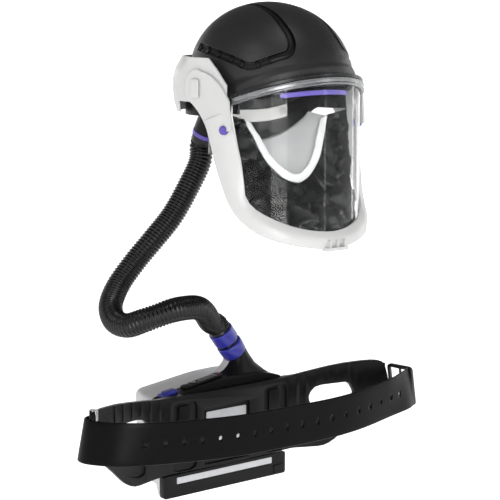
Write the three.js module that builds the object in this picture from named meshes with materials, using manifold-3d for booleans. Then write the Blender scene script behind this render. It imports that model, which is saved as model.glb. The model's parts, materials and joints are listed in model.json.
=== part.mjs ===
// Powered air respirator: a face-shield helmet, a corrugated breathing hose and a belt-worn blower.
// Millimetres, +Z up. The wearer faces -Y and the wearer's left is +X.
// The origin is the centre of the helmet's headband.

import * as THREE from 'three';
import { mergeVertices } from 'three/addons/utils/BufferGeometryUtils.js';
import Module from 'manifold-3d';

const wasm = await Module();
wasm.setup();

// ---------------------------------------------------------------- driving dimensions

const GAP = 0.35;                    // clearance between touching pieces

const DOME = { x: 101, y: 115, z: 97.5, midY: 13, lean: 0.05, wall: 2.6 };   // bump cap, half sizes
const BRIM_R = 105;                  // plan radius of the brow flare
const LENS_R = 111;                  // plan radius of the bent visor sheet
const LENS_MID_Y = 4;                // its centre line
const LENS_WALL = 1.6;
const LENS_SPAN = 69;                // degrees each side of the front
const RAIL_Z = -5.2;                 // lower edge of the brow rail at the front
const RAIL_SLOPE = 0.38;             // how fast the brow line drops per mm rearwards
const RAIL_H = 9.6;
const SEAL_H = 4.6;

const HINGE = { y: 24, z: -12 };     // visor pivot axis, along X
const ARM_IN = 111.5;                // inner and outer faces of the visor arms
const ARM_OUT = 114.5;
const BOSS_R = 24;
const PIN_R = 4;

const COWL = { x: 111, rearY: 142, midY: 40, wall: 2.4, top: 27, arch: -30, bottom: -45 };

const FRAME_FACE_Y = 98;             // wearer's side of the back frame
const FRAME_T = 13;
const WING_T = 7;
const WING_END = 262;
const WING_SWEEP = 43;               // how far the wing ends come forward
const BODY_HALF = 107;
const FRAME_TOP = -432;
const FRAME_BOTTOM = -540;
const STRAP_W = 55;
const STRAP_T = 2.6;

const HOUSING = { front: 111.4, split: 134, rear: 160, left: -112, right: 108, bottom: -539, wall: 3 };
const COVER_REAR = 203;
const PORT = { x: 33, y: 138.5, z: -386, lean: 36.5, r: 17.4, bore: 13.5 };   // middle of the blower's collar
const COLLAR_HALF = 9.7;
const INLET = { y: 151, z: -79, lean: 29, bore: 14, hose: 16.8 };    // end of the helmet's elbow, hose start
const CUFF = { low: 14.2, high: 34.3 };                            // bayonet cuff, along the outlet axis
const HOSE_R = 16.5;
const BATTERY = { left: -111, right: 104, front: 104, top: -541.5, bottom: -573 };

// Centre line of the breathing hose, from the helmet's elbow to the blower's cuff.
const HOSE_ROUTE = [
  [-3, 162, -121], [-21, 166, -157], [-45, 172, -196], [-75, 178, -229], [-99, 187, -258],
  [-125, 189, -288], [-146, 176, -311], [-158, 148, -326], [-160, 115, -327], [-152, 94, -319],
  [-138, 81, -312], [-118, 74, -306], [-90, 78, -306], [-60, 94, -312], [-33, 114, -325], [-9, 132, -343],
];

// ---------------------------------------------------------------- small tools

const V = (x, y, z) => new THREE.Vector3(x, y, z);
const rad = THREE.MathUtils.degToRad;
const lerp = THREE.MathUtils.lerp;
const smooth = THREE.MathUtils.smoothstep;
const range = (n, f) => Array.from({ length: n }, (_, i) => f(i));

const part = new THREE.Group();

function finish(colour, roughness, metalness = 0) {
  return new THREE.MeshStandardMaterial({ color: colour, roughness, metalness });
}

const white = finish(0xe9e8e4, 0.45);
const shellGrey = finish(0x2b2b2e, 0.55);
const black = finish(0x17171a, 0.5);
const rubber = finish(0x101012, 0.8);
const silver = finish(0xa9abb0, 0.3, 0.6);
const steel = finish(0x8c8e92, 0.3, 1);
const clear = new THREE.MeshStandardMaterial({
  color: 0xdfe6ea, roughness: 0.05, metalness: 0, transparent: true, opacity: 0.3,
});
const purple = finish(0x4b3f9e, 0.45);
const blue = finish(0x2f2f9c, 0.4);
const coverGrey = finish(0xbfbdbe, 0.5);
const cloth = finish(0xe4e4e6, 0.8);
const strapBlack = finish(0x121214, 0.6);
const filterWhite = finish(0xdad9d2, 0.9);
const labelSilver = finish(0xc3c4c8, 0.5);
const red = finish(0xb3202a, 0.5);
const boardGreen = finish(0x1d5a3a, 0.5);
const glass = finish(0x30363c, 0.1);

function add(name, geometry, material, place = {}) {
  const mesh = new THREE.Mesh(geometry, material);
  mesh.name = name;
  if (place.at) mesh.position.set(...place.at);
  if (place.turn) mesh.rotation.set(...place.turn.map(rad));
  (place.group ?? part).add(mesh);
  return mesh;
}

// Six times the signed volume; negative when the faces point inwards.
function signedVolume(position, index) {
  const corner = (k) => new THREE.Vector3().fromBufferAttribute(position, index[k]);
  let total = 0;
  for (let k = 0; k < index.length; k += 3) {
    total += corner(k).dot(corner(k + 1).cross(corner(k + 2)));
  }
  return total;
}

function closedGeometry(points, triangles) {
  const geometry = new THREE.BufferGeometry();
  const flat = points.flatMap((p) => [p.x, p.y, p.z]);
  geometry.setAttribute('position', new THREE.Float32BufferAttribute(flat, 3));
  if (signedVolume(geometry.attributes.position, triangles) < 0) {
    for (let k = 0; k < triangles.length; k += 3) {
      [triangles[k], triangles[k + 1]] = [triangles[k + 1], triangles[k]];
    }
  }
  geometry.setIndex(triangles);
  return geometry;
}

// A skin between two equal grids of points, closed round its four edges (or three when looped).
function thickSheet(outer, inner, looped = false) {
  const rows = outer.length;
  const cols = outer[0].length;
  const points = [...outer.flat(), ...inner.flat()];
  const out = (i, j) => (i % rows) * cols + j;
  const inn = (i, j) => rows * cols + out(i, j);
  const triangles = [];
  const quad = (a, b, c, d) => triangles.push(a, b, c, a, c, d);
  const spans = looped ? rows : rows - 1;
  for (let i = 0; i < spans; i += 1) {
    for (let j = 0; j < cols - 1; j += 1) {
      quad(out(i, j), out(i + 1, j), out(i + 1, j + 1), out(i, j + 1));
      quad(inn(i, j), inn(i, j + 1), inn(i + 1, j + 1), inn(i + 1, j));
    }
    quad(out(i, 0), inn(i, 0), inn(i + 1, 0), out(i + 1, 0));
    quad(out(i, cols - 1), out(i + 1, cols - 1), inn(i + 1, cols - 1), inn(i, cols - 1));
  }
  if (!looped) {
    for (let j = 0; j < cols - 1; j += 1) {
      quad(out(0, j), out(0, j + 1), inn(0, j + 1), inn(0, j));
      quad(out(rows - 1, j), inn(rows - 1, j), inn(rows - 1, j + 1), out(rows - 1, j + 1));
    }
  }
  return closedGeometry(points, triangles);
}

// The same skin, from surface functions of (u, v) in 0..1.
function skin(outerAt, innerAt, uSteps, vSteps, looped = false) {
  const uCount = looped ? uSteps : uSteps + 1;
  const grid = (f) => range(uCount, (i) => range(vSteps + 1, (j) => f(i / uSteps, j / vSteps)));
  return thickSheet(grid(outerAt), grid(innerAt), looped);
}

// ---------------------------------------------------------------- booleans

function toManifold(geometry) {
  const bare = geometry.clone();
  bare.deleteAttribute('normal');
  bare.deleteAttribute('uv');
  const merged = mergeVertices(bare, 1e-4);
  return new wasm.Manifold(new wasm.Mesh({
    numProp: 3,
    vertProperties: new Float32Array(merged.attributes.position.array),
    triVerts: new Uint32Array(merged.index.array),
  }));
}

function toGeometry(manifold) {
  const mesh = manifold.getMesh();
  const geometry = new THREE.BufferGeometry();
  geometry.setAttribute('position', new THREE.BufferAttribute(new Float32Array(mesh.vertProperties), 3));
  geometry.setIndex(new THREE.BufferAttribute(new Uint32Array(mesh.triVerts), 1));
  return geometry;
}

function cut(geometry, ...tools) {
  return toGeometry(tools.reduce((rest, tool) => rest.subtract(toManifold(tool)), toManifold(geometry)));
}

function join(...geometries) {
  const [first, ...rest] = geometries.map(toManifold);
  return toGeometry(rest.reduce((sum, next) => sum.add(next), first));
}

function overlap(a, b) {
  return toGeometry(toManifold(a).intersect(toManifold(b)));
}

// ---------------------------------------------------------------- stock shapes

function box(sx, sy, sz, at = [0, 0, 0]) {
  return new THREE.BoxGeometry(sx, sy, sz).translate(...at);
}

// A rod along X, Y or Z.
function rod(axis, radius, length, at = [0, 0, 0], sides = 24) {
  const geometry = new THREE.CylinderGeometry(radius, radius, length, sides);
  if (axis === 'x') geometry.rotateZ(Math.PI / 2);
  if (axis === 'z') geometry.rotateX(Math.PI / 2);
  return geometry.translate(...at);
}

// A ring turned about Z from a closed (radius, height) outline.
function turned(outline, sides = 28) {
  const points = [...outline, outline[0]].map(([r, h]) => new THREE.Vector2(r, h));
  if (THREE.ShapeUtils.area(points) < 0) points.reverse();
  return new THREE.LatheGeometry(points, sides).rotateX(Math.PI / 2);
}

// An (x, z) outline extruded rearwards from y0 to y1.
function slab(shape, y0, y1, curveSegments = 8) {
  const geometry = new THREE.ExtrudeGeometry(shape, { depth: y1 - y0, bevelEnabled: false, curveSegments });
  return geometry.rotateX(Math.PI / 2).translate(0, y1, 0);
}

function roundedRect(w, h, r, cx = 0, cy = 0) {
  const shape = new THREE.Shape();
  shape.moveTo(cx - w / 2 + r, cy - h / 2);
  for (const [sx, sy, start] of [[1, -1, -90], [1, 1, 0], [-1, 1, 90], [-1, -1, 180]]) {
    shape.absarc(cx + sx * (w / 2 - r), cy + sy * (h / 2 - r), r, rad(start), rad(start + 90), false);
  }
  return shape;
}

function mirrored(points) {
  return [...points, ...points.slice(0, -1).reverse().map(([x, ...rest]) => [-x, ...rest])];
}

// An outline of [a, b] corners, each rounded off; a corner may carry its own radius.
function rounded(points, radius, steps = 3) {
  return points.flatMap(([a, b, own], i) => {
    const corner = new THREE.Vector2(a, b);
    const towards = (step) => {
      const [na, nb] = points[(i + step + points.length) % points.length];
      const side = new THREE.Vector2(na - a, nb - b);
      return side.setLength(Math.min(own ?? radius, side.length() * 0.48)).add(corner);
    };
    return new THREE.QuadraticBezierCurve(towards(-1), corner, towards(1)).getPoints(steps);
  });
}

const roundedShape = (points, radius, steps) => new THREE.Shape(rounded(points, radius, steps));

// The same outline moved inwards by a wall thickness.
function inset(points, depth) {
  const corners = points.map(([a, b]) => new THREE.Vector2(a, b));
  const side = Math.sign(THREE.ShapeUtils.area(corners));
  const count = corners.length;
  return corners.map((corner, i) => {
    const before = corner.clone().sub(corners[(i + count - 1) % count]).normalize();
    const after = corners[(i + 1) % count].clone().sub(corner).normalize();
    const normals = new THREE.Vector2(-before.y - after.y, before.x + after.x);
    const reach = (side * depth) / (1 + before.dot(after));
    return [corner.x + normals.x * reach, corner.y + normals.y * reach, points[i][2]];
  });
}

function mixed(from, to, t) {
  return from.map(([a, b, own], i) => [lerp(a, to[i][0], t), lerp(b, to[i][1], t), own]);
}

// A closed body through equal rings of points; its two ends are flat when seen along the third axis.
function loft(rings, flatAxes = ['x', 'z']) {
  const count = rings[0].length;
  const triangles = [];
  for (let i = 0; i < rings.length - 1; i += 1) {
    for (let j = 0; j < count; j += 1) {
      const a = i * count + j;
      const b = i * count + ((j + 1) % count);
      triangles.push(a, b, b + count, a, b + count, a + count);
    }
  }
  const cap = (ring, base, forward) => {
    const contour = ring.map((p) => new THREE.Vector2(p[flatAxes[0]], p[flatAxes[1]]));
    const faces = THREE.ShapeUtils.triangulateShape(contour, []);
    const isForward = faces.some((face) => face.some((k, e) => k === 0 && face[(e + 1) % 3] === 1));
    faces.forEach(([a, b, c]) => {
      triangles.push(...(isForward === forward ? [a, b, c] : [b, a, c]).map((k) => base + k));
    });
  };
  cap(rings[0], 0, false);
  cap(rings.at(-1), (rings.length - 1) * count, true);
  return closedGeometry(rings.flat(), triangles);
}

const curveOf = (points) => new THREE.CatmullRomCurve3(points.map((p) => V(...p)), false, 'centripetal');

// ---------------------------------------------------------------- helmet shell

// A point on the visor's plan arc, at an angle from straight ahead.
function onArc(radius, degrees, z) {
  return V(radius * Math.sin(rad(degrees)), LENS_MID_Y - radius * Math.cos(rad(degrees)), z);
}

// Height of the rail's lower edge at a place on the arc.
function browZ(y) {
  return RAIL_Z - RAIL_SLOPE * (y - (LENS_MID_Y - LENS_R));
}

function arcBand(inner, outer, low, high, span, steps) {
  const at = (radius) => (u, v) => {
    const degrees = lerp(-span, span, u);
    const base = browZ(onArc(LENS_R, degrees, 0).y);
    return onArc(radius, degrees, base + lerp(low, high, v));
  };
  return skin(at(outer), at(inner), steps, 1);
}

function ellipsoid(grow) {
  const lean = new THREE.Matrix4().makeShear(0, 0, 0, 0, 0, DOME.lean);
  return new THREE.SphereGeometry(1, 40, 22)
    .rotateX(Math.PI / 2)
    .scale(DOME.x + grow, DOME.y + grow, DOME.z + grow)
    .applyMatrix4(lean)
    .translate(0, DOME.midY, 0);
}

function browFlare() {
  const lip = RAIL_H + SEAL_H + 1;
  const flare = (inset) => (u, v) => {
    const degrees = lerp(-76, 76, u);
    const base = browZ(onArc(LENS_R, degrees, 0).y) + lip;
    return onArc(BRIM_R - inset - 7 * smooth(v, 0.45, 1), degrees, base + 24 * v);
  };
  return skin(flare(0), flare(9), 24, 3);
}

// Everything under the brow line and the cap's rear edge.
function belowTheRim() {
  const rimZ = (y) => Math.max(browZ(y) + RAIL_H + SEAL_H + 1, -26);
  const side = (z) => (u, v) => {
    const y = lerp(-160, 190, u);
    return V(lerp(-150, 150, v), y, z ?? rimZ(y));
  };
  return skin(side(), side(-260), 24, 1);
}

// Moves a point straight out from the middle of the cap to its surface.
function onDome(p) {
  const y = p.y - DOME.midY - DOME.lean * p.z;
  const reach = Math.hypot(p.x / DOME.x, y / DOME.y, p.z / DOME.z);
  return V(p.x / reach, DOME.midY + (p.y - DOME.midY) / reach, p.z / reach);
}

// The groove round a side panel: from the back of the cap forward to a low corner, up at the front
// and over the crown, with louvres along its lower run.
const GROOVE = [
  [-85, 55, 40], [-94.4, 16, 34.5], [-93.6, -13, 28], [-90.5, -29, 23], [-83.9, -46, 17], [-71, -62, 23.5],
  [-59, -72, 29], [-48, -78, 33], [-41.5, -77, 40], [-38.5, -73, 48.5], [-37.3, -65.6, 58.3],
  [-36.6, -53.4, 68.8], [-34.4, -36.8, 79.4], [-32.6, -17.6, 87.4], [-29.5, 6.4, 92.8], [-26, 32, 91],
];
const GROOVE_DEPTH = 1.3;
const LOUVRES = [[0.02, 0.09], [0.105, 0.175], [0.19, 0.25], [0.27, 0.31], [0.33, 0.39], [0.405, 0.45]];

// Everything above a depth under the cap's surface, along a stretch of the groove.
function grooveCutter(side, from, to, widthAt, depth) {
  const line = curveOf(GROOVE.map(([x, y, z]) => [-side * x, y, z]));
  const edge = (height) => (u, v) => {
    const along = lerp(from, to, u);
    const middle = onDome(line.getPointAt(along));
    const out = middle.clone().sub(V(0, DOME.midY, 0)).normalize();
    const across = line.getTangentAt(along).cross(out).normalize();
    const p = middle.addScaledVector(across, (v - 0.5) * widthAt(along));
    return onDome(p).addScaledVector(out, height);
  };
  return skin(edge(8), edge(-depth), Math.ceil((to - from) * 40), 1);
}

function helmetShell() {
  const solid = join(ellipsoid(0), browFlare());
  const hollow = ellipsoid(-DOME.wall);
  const tools = [hollow, belowTheRim()];
  for (const side of [-1, 1]) {
    const grooveWidth = (along) => lerp(8.6, 5, smooth(along, 0.6, 1));
    tools.push(grooveCutter(side, 0, 1, grooveWidth, GROOVE_DEPTH));
    LOUVRES.forEach(([from, to]) => tools.push(grooveCutter(side, from, to, () => 4.4, 12)));
    tools.push(rod('x', PIN_R + GAP, 60, [side * DOME.x, HINGE.y, HINGE.z], 16));
  }
  return cut(solid, ...tools);
}

// ---------------------------------------------------------------- rear cowl

// Plan outline of the cowl: straight sides, then a full curve round the back of the head.
function cowlPlan(u, grow) {
  const x = COWL.x + grow;
  const depth = COWL.rearY - COWL.midY + grow;
  const sideRun = 0.2;
  const side = u < 0.5 ? -1 : 1;
  const along = 1 - Math.abs(u - 0.5) * 2;
  if (along < sideRun) return [side * x, lerp(-33, COWL.midY, along / sideRun)];
  const turn = rad(90 * (along - sideRun) / (1 - sideRun));
  const bulge = 2 / 2.25;
  return [side * x * Math.cos(turn) ** bulge, COWL.midY + depth * Math.sin(turn) ** bulge];
}

function cowlTop(y) {
  return y < 6 ? lerp(-8, COWL.top, smooth(y, -40, 6)) : COWL.top;
}

function cowlBottom(y) {
  const arch = lerp(-38, COWL.arch, smooth(y, 0, 26));
  return lerp(arch, COWL.bottom, smooth(y, 74, 80));
}

// How far the cowl leans in over its height: it tucks in under the duct and over the cap.
function cowlLean(z) {
  return -5 * smooth(-z, 24, 45) - 4 * smooth(z, -4, 16) - 8 * smooth(z, 14, 27);
}

function rearCowl() {
  const at = (grow) => (u, v) => {
    const y = cowlPlan(u, 0)[1];
    const z = lerp(cowlBottom(y), cowlTop(y), v);
    const keepSide = smooth(y, 30, 75);
    const [px, py] = cowlPlan(u, grow + cowlLean(z) * keepSide);
    return V(px, py, z);
  };
  const shell = skin(at(0), at(-COWL.wall), 40, 5);
  const holes = [-1, 1].map((side) => rod('x', PIN_R + GAP, 20, [side * COWL.x, HINGE.y, HINGE.z], 16));
  return cut(shell, ...holes, pipe(elbowCurve(), 18 + GAP, 8, 16));
}

function addHelmet() {
  add('helmet_shell', helmetShell(), shellGrey);
  add('rear_cowl', rearCowl(), white);
}

// ---------------------------------------------------------------- air duct at the nape

function addDuct() {
  const plan = (u, grow) => {
    const turn = rad(lerp(-98, 98, u));
    return [(88 + grow) * Math.sin(turn), 52 + (77 + grow) * Math.cos(turn)];
  };
  const wall = (grow) => (u, v) => {
    const [x, y] = plan(u, grow);
    return V(x, y, lerp(-49, -28, v));
  };
  const elbowLine = elbowCurve();
  const boreLine = curveOf([[0, 128, -34], [0, 137, -56], ...[-10, 6].map((h) => inletPoint(h).toArray())]);
  add('air_duct', cut(skin(wall(4), wall(-6), 32, 1), pipe(elbowLine, 18 + GAP, 8, 16)), black);
  add('inlet_elbow', cut(pipe(elbowLine, 18, 8, 16), pipe(boreLine, INLET.bore, 8, 12)), black);

  const onInlet = { at: [0, INLET.y, INLET.z], turn: [INLET.lean, 0, 0] };
  const ring = (inner, outer, from, to) => (
    turned([[inner, -from], [outer, -from], [outer, -to], [inner, -to]], 20)
  );
  add('hose_swivel_ring', ring(INLET.bore, 18.6, 0.6, 6.6), purple, onInlet);
  add('hose_cuff_upper', ring(INLET.bore, 17.4, 6.6 + GAP, INLET.hose - GAP), rubber, onInlet);
}

function elbowCurve() {
  return curveOf([[0, 131, -40], [0, 137, -56], ...[-10, 0].map((h) => inletPoint(h).toArray())]);
}

// A point below the elbow, on the line of its outlet.
function inletPoint(h) {
  return V(0, INLET.y + h * Math.sin(rad(INLET.lean)), INLET.z - h * Math.cos(rad(INLET.lean)));
}

// A round pipe along a curve.
function pipe(curve, radius, steps, sides) {
  const circle = new THREE.Shape(range(sides, (k) => new THREE.Vector2(
    radius * Math.cos((k * 2 * Math.PI) / sides),
    radius * Math.sin((k * 2 * Math.PI) / sides),
  )));
  return new THREE.ExtrudeGeometry(circle, { extrudePath: curve, steps, bevelEnabled: false });
}

// ---------------------------------------------------------------- head harness

const BAND = { x: 77, y: 96, h: 17, dropRear: 56 };

// The headband drops towards the nape.
function bandPoint(u, v, grow) {
  const turn = u * 2 * Math.PI;
  const y = -(BAND.y + grow) * Math.cos(turn);
  const z = -BAND.dropRear * smooth(y, -60, 90) + (v - 0.5) * BAND.h;
  return V((BAND.x + grow) * Math.sin(turn), y, z);
}

function addHarness() {
  // The stiff band runs round the front; a soft strap inside its two ends closes it at the nape.
  const stretch = (from, to, outer, inner, steps) => {
    const at = (grow) => (u, v) => bandPoint(lerp(from, to, u), v, grow);
    return skin(at(outer), at(inner), steps, 1);
  };
  add('headband', stretch(0.63, 1.37, 1, -1, 32), black);
  add('nape_strap', stretch(0.345, 0.655, -1 - GAP, -3, 16), cloth);

  const crownStrap = (turnDeg, halfSpan) => {
    const arch = (r) => (u, v) => {
      const a = rad(lerp(-halfSpan, halfSpan, u));
      const width = (v - 0.5) * 20;
      return V(width, r * 0.96 * Math.sin(a), -8 + (r - 4) * 0.96 * Math.cos(a));
    };
    return skin(arch(86), arch(84), 18, 1).rotateZ(rad(turnDeg));
  };
  add('crown_cradle', join(crownStrap(0, 66), crownStrap(90, 60)), black);

  const pad = (grow) => (u, v) => {
    const turn = rad(lerp(-42, 42, u));
    return V((BAND.x + grow) * Math.sin(turn), -(BAND.y + grow) * Math.cos(turn), lerp(-8, 15, v));
  };
  add('brow_pad', skin(pad(-1.5), pad(-7), 14, 1), black);

  const knobZ = -BAND.dropRear;
  const knob = rod('y', 14, 11, [0, BAND.y - 1 + 5.5, knobZ], 28);
  add('ratchet_knob', knob, black);

  [-1, 1].forEach((side) => {
    const spot = bandPoint(0.5 - side * 0.145, 0.5, 0);
    const peg = rod('z', 5, 3.4, [0, 0, 0], 14);
    const facing = Math.atan2(spot.x / BAND.x ** 2, -spot.y / BAND.y ** 2);
    const mesh = add(side < 0 ? 'strap_peg_right' : 'strap_peg_left', peg, cloth);
    mesh.geometry.rotateX(Math.PI / 2);
    mesh.rotation.z = facing;
    const inward = V(-spot.x / BAND.x, -spot.y / BAND.y, 0).normalize();
    mesh.position.copy(spot.addScaledVector(inward, 3 + GAP + 1.7));
  });
}

// ---------------------------------------------------------------- air deflector behind the brow

function addDeflector() {
  const blade = (r) => (u, v) => {
    const degrees = lerp(-36, 36, u);
    return onArc(r, degrees, lerp(-19, -13, v) - 5 * (1 - Math.cos(rad(degrees * 2))));
  };
  add('air_deflector', skin(blade(96), blade(93.5), 16, 1), purple);
}

// ---------------------------------------------------------------- visor

// Outline of the visor frame from the arm boss to the chin, on the wearer's right.
// Each row gives the front edge and the rear or lower edge of the band.
const FRAME_ROWS = [
  { front: [-109.5, -39, -38], rear: [-113.5, 6, -52] },
  { front: [-105, -44, -70], rear: [-113, -5, -80] },
  { front: [-100.5, -49, -100], rear: [-112.5, -15, -108] },
  { front: [-97, -52, -126], rear: [-111, -26, -134] },
  { front: [-95, -54, -147], rear: [-108.5, -38, -158] },
  { front: [-88, -65, -161], rear: [-103, -53, -176] },
  { front: [-76, -78, -171], rear: [-91, -73, -191] },
  { front: [-57, -93, -181], rear: [-70, -94, -201] },
  { front: [-31, -104.5, -188], rear: [-38, -109, -208.5] },
  { front: [0, -109, -191], rear: [0, -114, -213] },
];

function visorFrame() {
  const rowsOf = (key) => mirrored(FRAME_ROWS.map((row) => row[key]));
  const front = curveOf(rowsOf('front'));
  const rear = curveOf(rowsOf('rear'));
  const steps = 40;
  // Outward direction of the band at each station, from the plan centre and the band's own slope.
  const section = (u, v, depth) => {
    const a = front.getPointAt(u);
    const b = rear.getPointAt(u);
    const across = b.clone().sub(a);
    const along = front.getTangentAt(u);
    const out = along.clone().cross(across).normalize().multiplyScalar(-1);
    const crown = 4.5 * Math.sin(Math.PI * v) ** 0.7;
    return a.clone().lerp(b, v).addScaledVector(out, crown - depth);
  };
  const band = skin((u, v) => section(u, v, -1.5), (u, v) => section(u, v, 2.2), steps, 3);
  const arms = [-1, 1].map((side) => armPlate(side));
  const room = [
    roomBehindLens(),
    ...[-1, 1].map((side) => rod('x', PIN_R + GAP, 30, [side * 112, HINGE.y, HINGE.z], 20)),
    ...[-1, 1].map((side) => box(40, 120, 120, [side * (ARM_IN - GAP - 20), 22, 8])),
    ...[-1, 1].map((side) => lockDisc(side, LOCK.r + GAP, 20)),
  ];
  return cut(join(band, ...arms, ...chinTab()), ...room);
}

// The ribbed lip under the chin that the wearer lifts the visor by.
function chinTab() {
  const lip = box(34, 12, 4, [0, -116, -212]);
  const ribs = [-12, 0, 12].map((x) => box(2.2, 10, 10, [x, -116.5, -206]));
  return [lip, ...ribs];
}

// The flat arm: a round boss at the pivot that widens forward and down into the band.
function armPlate(side) {
  const shape = new THREE.Shape();
  shape.moveTo(HINGE.y + 20, HINGE.z - 14);
  shape.absarc(HINGE.y, HINGE.z, BOSS_R, rad(-35), rad(115), false);
  shape.bezierCurveTo(-8, 8, -30, -8, -42, -26);
  shape.lineTo(-45, -62);
  shape.lineTo(-2, -70);
  shape.bezierCurveTo(8, -50, 22, -36, HINGE.y + 20, HINGE.z - 14);
  const depth = ARM_OUT - ARM_IN;
  const plate = new THREE.ExtrudeGeometry(shape, { depth, bevelEnabled: false, curveSegments: 10 });
  plate.applyMatrix4(new THREE.Matrix4().makeBasis(V(0, 1, 0), V(0, 0, 1), V(1, 0, 0)));
  return plate.translate(side > 0 ? ARM_IN : -ARM_OUT, 0, 0);
}

// Space kept free for the visor sheet inside the frame.
function roomBehindLens() {
  const wall = (r) => (u, v) => onArc(r, lerp(-LENS_SPAN - 1, LENS_SPAN + 1, u), lerp(-200, 20, v));
  return skin(wall(LENS_R + GAP), wall(LENS_R - LENS_WALL - GAP), 36, 1);
}

function addVisor() {
  add('visor_frame', visorFrame(), white);

  const lensBottom = curveOf(mirrored([
    [-LENS_SPAN, -44, 0], [-63, -100, 0], [-60, -146, 0], [-54, -166, 0], [-42, -180, 0], [-22, -191, 0],
    [0, -196, 0],
  ]));
  const sheet = (r) => (u, v) => {
    const edge = lensBottom.getPoint(u);
    const topZ = browZ(onArc(LENS_R, edge.x, 0).y) + RAIL_H - 0.6;
    return onArc(r, edge.x, lerp(edge.y, topZ, v));
  };
  add('visor_lens', skin(sheet(LENS_R), sheet(LENS_R - LENS_WALL), 40, 1), clear);

  add('brow_rail', arcBand(LENS_R + GAP, LENS_R + 5.4, 0, RAIL_H, LENS_SPAN - 1, 30), silver);
  const topSeal = arcBand(LENS_R - 2, LENS_R + 3.4, RAIL_H + GAP, RAIL_H + SEAL_H, LENS_SPAN - 2, 28);
  add('visor_top_seal', topSeal, rubber);

  [-1, 1].forEach((side) => {
    const word = side < 0 ? 'right' : 'left';
    const face = roundedRect(16, 24, 3);
    const badge = new THREE.ExtrudeGeometry(face, { depth: 1.6, bevelEnabled: false, curveSegments: 5 });
    badge.applyMatrix4(new THREE.Matrix4().makeBasis(V(0, 1, 0), V(0, 0, 1), V(1, 0, 0)));
    badge.translate(side > 0 ? ARM_OUT + GAP + 1.2 : -ARM_OUT - GAP - 2.8, HINGE.y, HINGE.z);
    add(`hinge_cap_${word}`, badge, white);
    const shank = rod('x', PIN_R, 13.2, [side * (ARM_OUT - 6.6), HINGE.y, HINGE.z], 20);
    const head = rod('x', 7, 1, [side * (ARM_OUT + GAP + 0.5), HINGE.y, HINGE.z], 20);
    add(`hinge_pin_${word}`, join(shank, head.translate(-side * 0.35, 0, 0)), steel);
  });
}

// ---------------------------------------------------------------- visor catches and face seal

const LOCK = { x: 110.5, y: -32, z: -62, r: 5.6, length: 9, proud: 2.2, heading: 9.5 };

// A disc that sits square to the side of the visor frame.
function lockDisc(side, radius, length) {
  return rod('x', radius, length, [side * LOCK.proud, 0, 0], 18)
    .rotateZ(side * rad(-LOCK.heading))
    .translate(side * LOCK.x, LOCK.y, LOCK.z);
}

const SEAL_OUTER = [
  [-107, -20, -44], [-106, -24, -70], [-104.5, -27, -96], [-103, -31, -122], [-100.5, -35.5, -148],
  [-94.5, -46, -166], [-84, -61, -180.5], [-65.5, -80, -192], [-36.5, -96.5, -200], [0, -103, -203],
];
const SEAL_RIM = [
  [-70, -17, -52], [-66, -19, -60], [-60, -23, -72], [-54, -26, -86], [-47, -29.5, -100],
  [-37, -33, -113], [-20, -37.5, -127], [0, -39, -134],
];
const LINING_EDGE = [
  [-66, 14, -48], [-64, 16, -52], [-60, 20, -58], [-54, 24, -64], [-46, 28, -70],
  [-34, 31, -76], [-18, 34, -81], [0, 35, -84],
];

// A thin cloth between two curves, with equal stations.
function clothBetween(fromPoints, toPoints, start, thickness) {
  const from = curveOf(mirrored(fromPoints));
  const to = curveOf(mirrored(toPoints));
  const at = (offset) => (u, v) => {
    const a = from.getPoint(u);
    const b = to.getPoint(u);
    const p = a.clone().lerp(b, lerp(start, 1, v));
    const facing = from.getTangent(u).cross(b.clone().sub(a)).normalize();
    return p.addScaledVector(facing, offset);
  };
  return skin(at(thickness / 2), at(-thickness / 2), 28, 3);
}

function addFaceSeal() {
  add('face_seal', clothBetween(SEAL_OUTER, SEAL_RIM, 0, 1.2), rubber);
  add('face_seal_lining', clothBetween(SEAL_RIM, LINING_EDGE, 0.04, 1.2), cloth);
  [-1, 1].forEach((side) => {
    add(side < 0 ? 'visor_lock_right' : 'visor_lock_left', lockDisc(side, LOCK.r, LOCK.length), purple);
  });
}

// ---------------------------------------------------------------- breathing hose

// A point on the axis of the blower's outlet, measured from the middle of its collar.
function portPoint(h) {
  return V(PORT.x - h * Math.sin(rad(PORT.lean)), PORT.y, PORT.z + h * Math.cos(rad(PORT.lean)));
}

function addHose() {
  const ends = [INLET.hose, INLET.hose + 8].map((h) => inletPoint(h).toArray());
  const last = [CUFF.high + 9, CUFF.high + GAP].map((h) => portPoint(h).toArray());
  const line = curveOf([...ends, ...HOSE_ROUTE, ...last]);
  add('breathing_hose', pipe(line, HOSE_R, 56, 10), rubber);

  const onPort = { at: portPoint(0).toArray(), turn: [0, -PORT.lean, 0] };
  const cuff = turned([
    [PORT.bore, CUFF.low], [17.2, CUFF.low], [17.9, CUFF.low + 1.5], [17.9, CUFF.high - 1], [17.2, CUFF.high],
    [PORT.bore, CUFF.high],
  ], 24);
  add('hose_cuff_lower', cuff, blue, onPort);
  const gasket = turned([
    [PORT.bore, COLLAR_HALF + GAP], [15.8, COLLAR_HALF + GAP],
    [15.8, CUFF.low - GAP], [PORT.bore, CUFF.low - GAP],
  ], 20);
  add('outlet_seal', gasket, rubber, onPort);
  const collar = turned([
    [PORT.bore, -COLLAR_HALF], [PORT.r, -COLLAR_HALF], [PORT.r + 0.9, 0], [PORT.r + 0.9, COLLAR_HALF - 1.5],
    [PORT.r, COLLAR_HALF], [PORT.bore, COLLAR_HALF],
  ], 24);
  add('outlet_collar', collar, blue, onPort);
}

// ---------------------------------------------------------------- blower housing

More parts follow.
